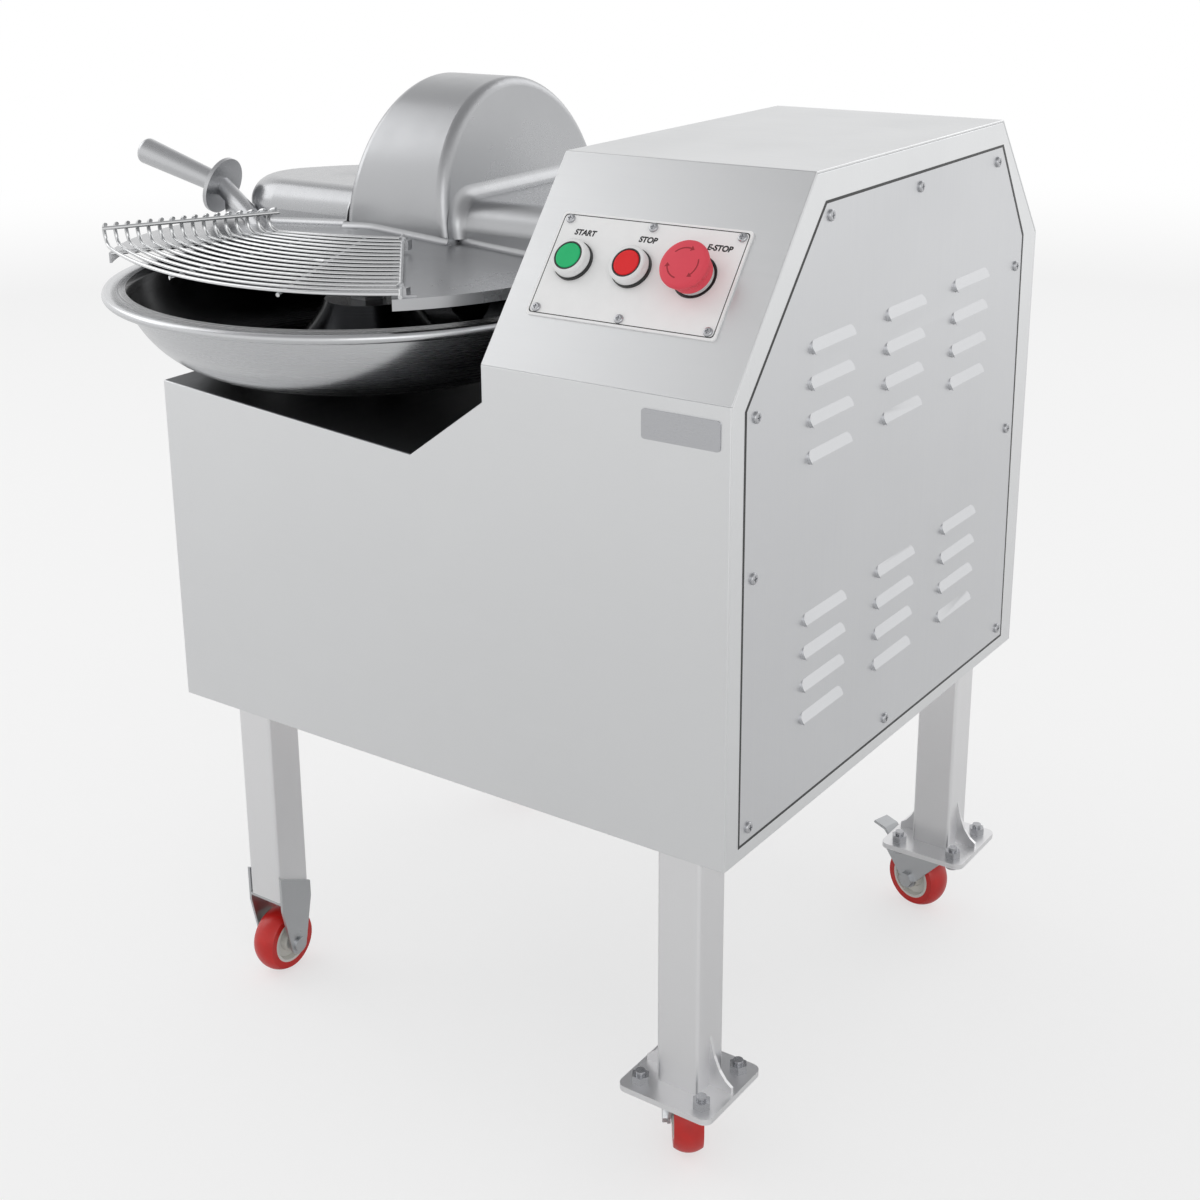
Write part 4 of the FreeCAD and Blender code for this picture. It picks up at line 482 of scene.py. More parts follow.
class Finishes:
    """Every finish of the machine, each named for what it is made of and how."""

    def __init__(self, bowl_axis: tuple[float, float]) -> None:
        """Build the materials.

        Args:
            bowl_axis: Where the bowl's axis stands, in frame metres.
        """
        # Belt-ground stainless sheet, grade 304: strokes along the sheet smear highlights across them.
        self.front_sheet = Metal("stainless_sheet_satin", "#E2E3E4", 0.34, Grain.ALONG_X, stroke=90.0).build()
        self.tower_sheet = Metal("stainless_cover_satin", "#DEDFE0", 0.34, Grain.ALONG_X, stroke=70.0).build()
        # The same sheet ground upright: its highlights widen sideways, so the side looks plainer.
        # Its colour is a little darker than the front sheet's: painted shade on the side.
        self.side_sheet = Metal("stainless_sheet_upright_strokes", "#D8D9DB", 0.36, Grain.ALONG_Z,
                                stroke=90.0).build()
        self.frame_sheet = Metal("stainless_edge_frame", "#E6E7E8", 0.32, Grain.ALONG_Z, stroke=60.0).build()
        self.leg_tube = Metal("stainless_tube_satin", "#ECECED", 0.33, Grain.ALONG_Z, stroke=50.0).build()
        # The deck under the bowl is duller and cloudy, and its dark colour is painted shade from the bowl
        # above it.
        self.deck_sheet = Metal("stainless_sheet_deck_painted_shade", "#6A6B6D", 0.4, Grain.ALONG_Y, stroke=80.0,
                                clouds=0.1).build()
        # Spun stainless: fine rings draw highlights out from the axis. The trough is polished, and its dark
        # colour is painted shade.
        self.spun_bowl = Metal("stainless_spun_bowl", "#CFD0D2", 0.25, Grain.SPUN, line=1.2, drift=0.12,
                               centre=bowl_axis).build()
        self.bowl_inside_painted_shade = Metal("stainless_bowl_inside_polished_painted_shade", "#3A3B3D", 0.22, Grain.SPUN, line=1.0,
                                 centre=bowl_axis).build()
        # Hand-polished pressing: no direction, soft and slightly cloudy reflections.
        self.lid_plate = Metal("stainless_lid_hand_polished", "#B8B9BB", 0.27, line=9.0, depth=0.002,
                               spread=0.02, clouds=0.1, drift=0.12).build()
        # Ground in short strokes, which break a highlight up along the piece.
        self.handle_bar = Metal("stainless_handle_ground", "#C6C7C9", 0.28, Grain.ALONG_X, line=0.7,
                                stroke=12.0, depth=0.006).build()
        self.tag_steel = Metal("stainless_tag_brushed", "#BDBEC1", 0.3, Grain.ALONG_X, line=0.4, stroke=20.0,
                               depth=0.006).build()
        # Electropolished wire: sharp bright lines along each round.
        self.bright_wire = Metal("stainless_wire_electropolished", "#D8D9DA", 0.16, line=0.5,
                                 depth=0.002).build()
        # Turned and ground steel: small parts with crisp, slightly broken highlights.
        self.turned_steel = Metal("steel_turned", "#B4B5B7", 0.3, line=0.6).build()
        self.ground_knife = Metal("knife_steel_ground", "#C9CACC", 0.2, line=0.6, depth=0.003).build()
        self.screw_steel = Metal("stainless_screw", "#B9BABD", 0.24, line=0.5, depth=0.003).build()
        # Zinc's crystals blotch the light. Turned cast iron is dark and dull.
        self.zinc_plate = Metal("zinc_plated_pressing", "#C8CACC", 0.32, line=2.5, depth=0.008, clouds=0.14,
                                drift=0.15).build()
        self.cast_pulley = Metal("cast_iron_turned", "#6A6B6D", 0.45, depth=0.01).build()
        # Enamel on castings: an orange-peel skin under a thin gloss.
        self.motor_enamel = Moulded("motor_enamel_blue", "#3D5F7A", 0.4, 1.5, 0.03, 0.1, 0.2).build()
        self.gear_enamel = Moulded("gear_case_enamel_grey", "#6C7073", 0.4, 1.5, 0.03, 0.1, 0.2).build()
        # Rubber swallows light. Moulded ABS and polyamide are satin, with a fine skin.
        self.belt_rubber = Moulded("belt_rubber", "#1C1C1D", 0.75, 0.5, 0.03, 0.2).build()
        self.box_plastic = Moulded("abs_grey", "#A4A5A0", 0.5, 0.5, 0.02).build()
        self.gland_black = Moulded("polyamide_black", "#161718", 0.5, 0.5, 0.02, 0.1).build()
        # Powder coat: an even white with a soft sheen.
        self.panel_white = Moulded("powder_coat_white", "#F7F7F7", 0.42, 0.8, 0.012, 0.03).build()
        # Moulded nylon: smooth, with a small soft highlight on each edge.
        self.bezel_white = Moulded("nylon_bezel_white", "#E9EAEA", 0.28, 0.4, 0.006, 0.05, 0.4).build()
        # Its black is also painted shadow in the gaps round the caps and round the service panel.
        self.black_nylon_and_gap_shadow = Moulded("nylon_ring_black_and_painted_gap_shadow", "#151617", 0.4, 0.4, 0.01, 0.1, 0.2).build()
        self.hub_white = Moulded("nylon_hub_white", "#D6D5CF", 0.42, 0.5, 0.01, 0.1).build()
        # Coloured caps and ink: satin, so that their colour stays full.
        self.button_green = Moulded("button_green_translucent_cap", "#00BE72", 0.5, 0.3, 0.004, 0.05).build()
        self.button_red = Moulded("button_red_translucent_cap", "#E8000E", 0.5, 0.3, 0.004, 0.05).build()
        self.mushroom_red = Moulded("emergency_head_red", "#E54556", 0.5, 0.4, 0.006, 0.04).build()
        self.arrow_red = Moulded("emergency_arrow_dark_red", "#A01525", 0.45, 0.4, 0.004, 0.05).build()
        self.ink_black = Moulded("printed_ink_black", "#17181A", 0.5, 0.3, 0.002, 0.02).build()
        # Cast polyurethane treads: glossy, with dusty spots.
        self.tread_red = Moulded("polyurethane_red", "#CC150C", 0.34, 0.7, 0.015, 0.15, 0.3).build()


@dataclass
class Dresser:
    """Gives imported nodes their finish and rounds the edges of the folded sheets.

    Attributes:
        nodes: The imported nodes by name.
        flat: Faces of a sheet that meet at less than this angle, in degrees, are one.
        edge: Its edges sharper than this angle, in degrees, are rounded.
    """

    nodes: dict[str, Object]
    flat: float = 0.3
    edge: float = 35.0

    def merged(self, name: str, piece_name: str, finish: Material, flatten: bool = False) -> Object:
        """Stand a copy of a node with merged corners in for it.

        Args:
            name: The node.
            piece_name: Name of the copy.
            finish: Its material.
            flatten: Whether its flat faces are joined.

        Returns:
            The copy, riding on the node's body.
        """
        source = self.nodes[name]
        work = bmesh.new()
        work.from_mesh(source.data)
        bmesh.ops.remove_doubles(work, verts=work.verts, dist=MERGE)
        if flatten:
            bmesh.ops.dissolve_limit(work, angle_limit=math.radians(self.flat), verts=work.verts,
                                     edges=work.edges)
        mesh = bpy.data.meshes.new(piece_name)
        work.to_mesh(mesh)
        work.free()
        smooth(mesh)
        piece = fitted(piece_name, mesh, finish, source["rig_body"])
        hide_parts(name)
        return piece

    def paint(self, finish: Material, *names: str) -> None:
        """Give nodes a finish and leave their shape alone.

        Args:
            finish: The material.
            *names: The nodes.
        """
        for name in names:
            slots = self.nodes[name].material_slots
            for slot in slots:
                slot.material = finish
            if not slots:
                self.nodes[name].data.materials.append(finish)

    def soften(self, finish: Material, width: float, *names: str) -> None:
        """Stand a merged copy with rounded edges in for each node.

        The copy's flat faces are joined, so that a bevel of the width takes only the real edges.

        Args:
            finish: The material.
            width: Width of the rounding in mm.
            *names: The nodes.
        """
        for name in names:
            piece = self.merged(name, name + "_edged", finish, flatten=True)
            bevel = piece.modifiers.new("rounding", "BEVEL")
            bevel.width = width * MM
            bevel.segments = 2
            bevel.limit_method = "ANGLE"
            bevel.angle_limit = math.radians(self.edge)
            bevel.harden_normals = True
            evened = piece.modifiers.new("even_normals", "WEIGHTED_NORMAL")
            evened.keep_sharp = True
            evened.weight = 100

    def shade_hollow(self, name: str, outside: Material, inside: Material,
                 centre: Sequence[float], reach: float) -> None:
        """Stand a merged copy in for a turned hollow node, with a darker finish on the hollow's wall as
        painted shade.

        A face is part of the hollow where its normal points at the ring of radius reach round the
        centre: normal . (ring point - face middle) is over a millimetre.

        Args:
            name: The node.
            outside: Finish of the outer wall.
            inside: Finish of the hollow's wall, darker as painted shade.
            centre: Middle of the ring, in frame metres.
            reach: The ring's radius in metres.
        """
        mesh = self.merged(name, name + "_polished", outside).data
        # The hollow's finish is a darker colour: painted shade.
        mesh.materials.append(inside)
        middle = np.empty(len(mesh.polygons) * 3, np.float32)
        normal = np.empty_like(middle)
        mesh.polygons.foreach_get("center", middle)
        mesh.polygons.foreach_get("normal", normal)
        middle, normal = middle.reshape(-1, 3).astype(float), normal.reshape(-1, 3).astype(float)
        out = middle[:, :2] - np.array(centre[:2])
        out /= np.maximum(np.linalg.norm(out, axis=1, keepdims=True), 1e-9)
        ring = np.column_stack([np.array(centre[:2]) + reach * out, np.full(len(out), centre[2])])
        hollow = np.einsum("ij,ij->i", normal, ring - middle) > MM
        mesh.polygons.foreach_set("material_index", hollow.astype(np.int32))
        mesh.update()


@dataclass
class Studio:
    """A plain pale floor, soft lamps and the camera at the photograph's angle.

    Attributes:
        azimuth: Camera's way round from the front, in degrees.
        elevation: Its height above level, in degrees.
        roll: Its turn about its own axis, in degrees.
        eye: Its place in machine mm, z above the cabinet's underside.
        lens: Focal length in mm for a 36 mm sensor.
        shift: Shift of the picture as shares of its width.
        floor_half: Half the floor's side in metres.
        floor_fade: Distances from the machine, in metres, over which the floor turns white.
        floor_lift: How far the floor by the machine is lifted to white for the camera, from 0 to 1.
        ceiling: sRGB hex colour of the ceiling that metal mirrors.
        ceiling_rise: Heights of a mirrored way between which the backdrop turns to the ceiling.
        room_light: Strength of the room's light on matt surfaces.
        lamps: Each soft lamp's name, place and side in metres, and power in watts.
        aim: Where the lamps point, in frame metres.
    """

    azimuth: float = 36.64
    elevation: float = 17.55
    roll: float = -1.0
    eye: tuple[float, float, float] = (1162.0, -1033.0, 694.0)
    lens: float = 55.12
    shift: tuple[float, float] = (0.055, -0.115)
    floor_half: float = 30.0
    floor_fade: tuple[float, float] = (1.0, 5.0)
    floor_lift: float = 0.6
    ceiling: str = "#B4B4B5"
    ceiling_rise: tuple[float, float] = (0.3, 0.95)
    room_light: float = 0.68
    lamps: tuple[tuple[str, tuple[float, float, float], float, float], ...] = (
        ("key_softbox", (-2.9, -0.7, 2.6), 2.6, 22.0), ("fill_softbox", (2.6, -2.6, 1.7), 2.0, 11.0),
        ("back_softbox", (0.8, 3.0, 2.4), 2.2, 12.0))
    aim: tuple[float, float, float] = (0.0, 0.0, 0.45)

    def camera(self, space: MachineSpace) -> None:
        """Place the camera by its eye, angles and shift.

        Args:
            space: The machine's space.
        """
        data = bpy.data.cameras.new("photo_camera")
        data.lens, data.sensor_width = self.lens, 36.0
        data.shift_x, data.shift_y = self.shift
        camera = bpy.data.objects.new("photo_camera", data)
        bpy.context.scene.collection.objects.link(camera)
        a, e = math.radians(self.azimuth), math.radians(self.elevation)
        ahead = Vector((-math.sin(a) * math.cos(e), math.cos(a) * math.cos(e), -math.sin(e)))
        turn = ahead.to_track_quat("-Z", "Y").to_matrix().to_4x4()
        roll = Matrix.Rotation(math.radians(self.roll), 4, "Z")
        camera.matrix_world = Matrix.Translation(space.at(*self.eye)) @ turn @ roll
        bpy.context.scene.camera = camera

    def floor(self) -> None:
        """Lay a wide pale floor that isn't part of the machine.

        Its paper is plainly lit. For the camera it is lifted towards white, and for camera and metal
        alike it fades to the backdrop's white further off, so the shadow stays and no horizon shows.
        """
        half = self.floor_half
        points = np.array([[[x, y, 0.0] for y in (-half, half)] for x in (-half, half)])
        material = empty_material("floor_pale_paper")
        tree = material.node_tree
        place = add(tree, "TexCoord").outputs["Object"]
        reach = add(tree, "VectorMath", links={0: place}, operation="LENGTH")
        near, white_from = self.floor_fade
        far = add(tree, "MapRange", {"From Min": near, "From Max": white_from},
                  {"Value": reach.outputs["Value"]}, interpolation_type="SMOOTHSTEP")
        lifted = add(tree, "Math", {1: self.floor_lift}, {0: far}, operation="MAXIMUM")
        light = add(tree, "LightPath")
        camera = add(tree, "Math", links={0: light.outputs["Is Camera Ray"], 1: lifted}, operation="MULTIPLY")
        mirrored = add(tree, "Math", links={0: light.outputs["Is Glossy Ray"], 1: far}, operation="MULTIPLY")
        share = add(tree, "Math", links={0: camera, 1: mirrored}, operation="MAXIMUM")
        paper = add(tree, "BsdfPrincipled", {"Base Color": linear("#F4F4F4"), "Roughness": 0.9,
                                             "Specular IOR Level": 0.2})
        white = add(tree, "Emission", {"Color": linear("#FFFFFF"), "Strength": 1.0})
        both = add(tree, "MixShader", links={0: share, 1: paper, 2: white})
        add(tree, "OutputMaterial", links={"Surface": both})
        object_from("floor", grid_mesh("floor", points), material)

    def world(self) -> None:
        """Light the scene from all sides.

        The camera sees a white backdrop. Metal sees it too, but with a dimmer ceiling, as in a room
        whose lamps stand at its sides.
        """
        world = bpy.data.worlds.new("pale_room")
        bpy.context.scene.world = world
        world.use_nodes = True
        tree = world.node_tree
        tree.nodes.clear()
        light = add(tree, "LightPath")
        sky = add(tree, "TexCoord").outputs["Generated"]
        way = add(tree, "SeparateXYZ", links={0: sky})
        low, high = self.ceiling_rise
        height = add(tree, "MapRange", {"From Min": low, "From Max": high}, {"Value": way.outputs[2]},
                     interpolation_type="SMOOTHSTEP")
        white = linear("#FFFFFF")
        tone = add(tree, "Mix", {MIX_A: white, MIX_B: linear(self.ceiling)}, {0: height}, data_type="RGBA")
        room = add(tree, "Background", {"Color": white, "Strength": self.room_light})
        mirrored = add(tree, "Background", {"Strength": 1.0}, {"Color": tone.outputs[MIX_RESULT]})
        backdrop = add(tree, "Background", {"Color": white, "Strength": 1.0})
        lit = add(tree, "MixShader", links={0: light.outputs["Is Glossy Ray"], 1: room, 2: mirrored})
        both = add(tree, "MixShader", links={0: light.outputs["Is Camera Ray"], 1: lit, 2: backdrop})
        add(tree, "OutputWorld", links={"Surface": both})

    def lamp(self, name: str, where: Sequence[float], size: float, power: float) -> None:
        """Hang a square soft lamp that faces the machine's middle.

        Args:
            name: The lamp's name.
            where: Its place in frame metres.
            size: Its side in metres.
            power: Its power in watts.
        """
        data = bpy.data.lights.new(name, "AREA")
        data.size, data.energy = size, power
        lamp = bpy.data.objects.new(name, data)
        bpy.context.scene.collection.objects.link(lamp)
        lamp.location = where
        lamp.rotation_euler = (Vector(self.aim) - Vector(where)).to_track_quat("-Z", "Y").to_euler()

    def build(self, space: MachineSpace) -> None:
        """Set the whole studio up.

        Args:
            space: The machine's space.
        """
        self.camera(space)
        self.floor()
        self.world()
        for lamp in self.lamps:
            self.lamp(*lamp)


@dataclass
class Assembly:
    """A part of the machine, with what every part is dressed and built with.

    Attributes:
        space: The machine's space.
        finishes: The machine's finishes.
        dresser: Gives finishes to nodes.
    """

    space: MachineSpace
    finishes: Finishes
    dresser: Dresser


@dataclass
class Controls(Assembly):
    """What is printed and fitted on the sloped face: labels, the plate's line, rings, the emergency head.

    Attributes:
        plate: Left, lower, right and upper edge of the white plate as (x, way up the slope) in mm.
        plate_t: The plate's thickness.
        line_inset: The printed line's distance from the plate's edge.
        line_w: The printed line's width.
        line_corner: Radius of its corners.
        ink: Height of the ink over the plate.
        words: Each printed word and its middle.
        word_s: The words' base line, way up the slope.
        letter_h: Height of their capitals.
        capital: A capital's height as a share of the font's size.
        letter_fat: How far a letter's outline grows.
        letter_lean: How far a letter leans, per mm of height.
        button_s: The switches' way up the slope.
        buttons: Each round switch's name and middle.
        emergency_x: The emergency head's middle.
        bezel_r: Outer radius of a button's bezel.
        bezel_top: Height of its front over the slope.
        cap_r: Radius of a button's coloured cap.
        ring_seat: Height of a black ring's underside over the plate.
        ring_gap: Its distance from the bezel.
        gasket: How far a gasket reaches past the bezel, its height, and how its upper corner is cut.
        base_ring: The same of the ring under the emergency head.
        shadow_ring: Inner and outer edge past the cap of the dark ring round it, and how far it is sunk in
            and stands out of the bezel's front.
        head_r: Radius of the emergency head.
        head_top: Height of its top over the slope.
        head_outline: Its section from the top's edge down and in, as (inset from its radius, drop from its
            top, height of the ribs).
        head_stem: Drop from its top to the stem, and the stem's depth under the slope.
        head_ribs: Number of grip ribs round the head's skirt.
        arrow_starts: Where its turn arrows start, in degrees.
        arrow_r: Radius of an arrow's middle line.
        arrow_turn: Degrees from an arrow's start to its head and to its tip.
        arrow_half: Half the width of an arrow's shaft and of its head.
    """

    plate: tuple[float, float, float, float] = (368.0, 45.0, 530.0, 131.0)
    plate_t: float = 1.5
    line_inset: float = 1.8
    line_w: float = 0.7
    line_corner: float = 3.0
    ink: float = 0.06
    words: tuple[tuple[str, float], ...] = (("START", 393.0), ("STOP", 448.0), ("E-STOP", 508.0))
    word_s: float = 113.0
    letter_h: float = 4.4
    capital: float = 0.7
    letter_fat: float = 0.28
    letter_lean: float = 0.12
    button_s: float = 91.0
    buttons: tuple[tuple[str, float], ...] = (("start", 393.0), ("stop", 444.0))
    emergency_x: float = 497.0
    bezel_r: float = 14.75
    bezel_top: float = 11.5
    cap_r: float = 10.2
    ring_seat: float = 0.02
    ring_gap: float = 0.05
    gasket: tuple[float, float, float, float] = (0.9, 3.0, 0.4, 0.6)
    base_ring: tuple[float, float, float, float] = (2.2, 0.45, 0.3, 0.15)
    shadow_ring: tuple[float, float, float, float] = (0.25, 1.3, 1.0, 0.08)
    head_r: float = 19.0
    head_top: float = 22.5
    head_outline: tuple[tuple[float, float, float], ...] = (
        (3.0, 0.02, 0.0), (1.4, 0.3, 0.0), (0.5, 1.0, 0.0), (0.0, 2.2, 0.0), (0.0, 3.4, 0.0),
        (0.4, 3.9, 0.28), (2.2, 9.6, 0.28), (3.3, 9.9, 0.0), (3.3, 16.4, 0.0), (4.0, 16.4, 0.0),
        (4.0, 12.0, 0.0))
    head_stem: tuple[float, float] = (12.0, 6.5)
    head_ribs: int = 60
    arrow_starts: tuple[float, ...] = (20.0, 140.0, 260.0)
    arrow_r: float = 12.0
    arrow_turn: tuple[float, float] = (62.0, 76.0)
    arrow_half: tuple[float, float] = (0.5, 2.1)

    def label(self, text: str, x: float) -> None:
        """Print a word on the plate.

        The letters' flat outline is laid at (x + across, base line + up) just off the plate.

        Args:
            text: A plain switch word.
            x: Middle of the word.
        """
        curve = bpy.data.curves.new(text, "FONT")
        curve.body, curve.size, curve.align_x = text, self.letter_h / self.capital, "CENTER"
        curve.offset, curve.shear = self.letter_fat, self.letter_lean
        holder = bpy.data.objects.new(text, curve)
        bpy.context.scene.collection.objects.link(holder)
        bpy.context.view_layer.update()
        mesh = bpy.data.meshes.new_from_object(holder.evaluated_get(bpy.context.evaluated_depsgraph_get()))
        bpy.data.objects.remove(holder)
        flat = np.empty(len(mesh.vertices) * 3, np.float32)
        mesh.vertices.foreach_get("co", flat)
        flat = flat.reshape(-1, 3)
        flat[:, :2] += (x, self.word_s)
        flat[:, 2] = self.plate_t + self.ink
        mesh.vertices.foreach_set("co", self.space.on_slope(flat).astype(np.float32).ravel())
        mesh.update()
        fitted("label_" + text.lower().replace("-", ""), mesh, self.finishes.ink_black)

    def plate_line(self) -> None:
        """Print the thin line round the plate as a flat ribbon along a rounded rectangle."""
        left, low, right, high = self.plate
        r = self.line_corner
        rings = []
        for inset in (self.line_inset + r, self.line_inset + self.line_w + r):
            a, b, c, d = left + inset, low + inset, right - inset, high - inset
            corners = ((c, d, 0), (a, d, 90), (a, b, 180), (c, b, 270))
            rings.append(np.concatenate([arc((x, s), r, start, start + 90, 6) for x, s, start in corners]))
        flat = np.stack(rings)
        off = np.full(flat.shape[:2] + (1,), self.plate_t + self.ink)
        points = self.space.on_slope(np.concatenate([flat, off], axis=-1))
        fitted("plate_line", grid_mesh("plate_line", points, round_columns=True), self.finishes.ink_black)

    def turned(self, finish: Material, name: str, x: float, profile: Sequence[Sequence[float]],
               body: str = "cabinet", ribs: int = 0) -> Object:
        """Turn a profile round a switch's axis.

        Args:
            finish: The piece's finish.
            name: Its name.
            x: The switch's middle.
            profile: Points as (distance from the axis, height off the slope) in mm, and the ribs' height.
            body: The body that it rides on.
            ribs: Number of ribs round it. A ribbed profile starts and ends on the axis.

        Returns:
            The piece.
        """
        foot = self.space.on_slope(np.array([x, self.button_s, 0.0]))
        way = self.space.on_slope(np.array([x, self.button_s, 1.0])) - foot
        steps = 6 * ribs if ribs else 72
        points = turned_points(np.array(profile) * MM, foot, way, steps, ribs)
        mesh = grid_mesh(name, points, round_rows=True, round_columns=not ribs)
        smooth(mesh)
        return fitted(name, mesh, finish, body)

    def black_ring(self, name: str, x: float, edges: Sequence[float], heights: Sequence[float],
                   cut: Sequence[float] = (0.0, 0.0)) -> None:
        """Turn a black ring of square section, with its outer upper corner cut off.

        Args:
            name: Name of the piece.
            x: The switch's middle.
            edges: Inner and outer radius.
            heights: Lower and upper height off the slope.
            cut: How far the corner is cut, across and down.
        """
        (inner, outer), (low, high), (across, down) = edges, heights, cut
        section = [(inner, low), (outer, low), (outer, high - down), (outer - across, high), (inner, high)]
        self.turned(self.finishes.black_nylon_and_gap_shadow, name, x, section)

    def collar(self, name: str, x: float, size: Sequence[float]) -> None:
        """Turn a black ring that lies on the plate round a bezel.

        Args:
            name: Name of the piece.
            x: The switch's middle.
            size: How far it reaches past the bezel, its height, and how its upper corner is cut.
        """
        reach, height, *cut = size
        low, r = self.plate_t + self.ring_seat, self.bezel_r
        self.black_ring(name, x, (r + self.ring_gap, r + reach), (low, low + height), cut)

    def rings(self) -> None:
        """Fit the black rings under the bezels and under the emergency head, and round each cap a black ring
        that is painted shadow of its gap.
        """
        past, until, sunk, proud = self.shadow_ring
        for name, x in self.buttons:
            self.collar(name + "_gasket", x, self.gasket)
            self.black_ring(name + "_shadow_ring", x, (self.cap_r + past, self.cap_r + until),
                            (self.bezel_top - sunk, self.bezel_top + proud))
        self.collar("emergency_base_ring", self.emergency_x, self.base_ring)

    def emergency_head(self) -> None:
        """Make the mushroom head with its ribbed skirt, and the turn arrows on its top."""
        r, top, (drop, deep) = self.head_r, self.head_top, self.head_stem
        skirt = [(r - inset, top - down, rib) for inset, down, rib in self.head_outline]
        profile = [(0.0, top, 0.0), *skirt, (self.cap_r, top - drop, 0.0), (self.cap_r, -deep, 0.0),
                   (0.0, -deep, 0.0)]
        head = self.turned(self.finishes.mushroom_red, "emergency_head", self.emergency_x, profile, "estop",
                           self.head_ribs)
        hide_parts("estop_head")
        arrows = joined_mesh("emergency_arrows", [self.arrow(start) for start in self.arrow_starts])
        fitted("emergency_arrows", arrows, self.finishes.arrow_red, "estop")

    def arrow(self, start: float) -> Mesh:
        """Lay a thin curved arrow on the head's top.

        Its middle line is an arc round the head's axis. Half its width is constant on the shaft and
        then falls as (1 - share) along the head, which closes almost to a point.

        Args:
            start: Where it starts, in degrees round the head.

        Returns:
            Its mesh.
        """
        neck, tip = self.arrow_turn
        thin, wide = self.arrow_half
        shaft, head = np.linspace(0.0, neck, 14), np.linspace(neck, tip, 5)
        turn = np.radians(start - np.concatenate([shaft, head]))
        half = np.concatenate([np.full(len(shaft), thin), wide * (1.0 - np.linspace(0.0, 0.98, len(head)))])
        rows = [np.stack([self.emergency_x + (self.arrow_r + k * half) * np.cos(turn),
                          self.button_s + (self.arrow_r + k * half) * np.sin(turn),
                          np.full(len(turn), self.head_top + self.ink)], axis=-1) for k in (-1.0, 1.0)]
        return grid_mesh("arrow", self.space.on_slope(np.stack(rows)))

    def build(self) -> None:
        """Dress the controls, print the plate, and fit the rings and the emergency head."""
        self.dresser.paint(self.finishes.panel_white, "control_plate")
        self.dresser.paint(self.finishes.bezel_white, "button_bezels")
        self.dresser.paint(self.finishes.button_green, "start_button")
        self.dresser.paint(self.finishes.button_red, "stop_button")
        for text, x in self.words:
            self.label(text, x)
        self.plate_line()
        self.rings()
        self.emergency_head()


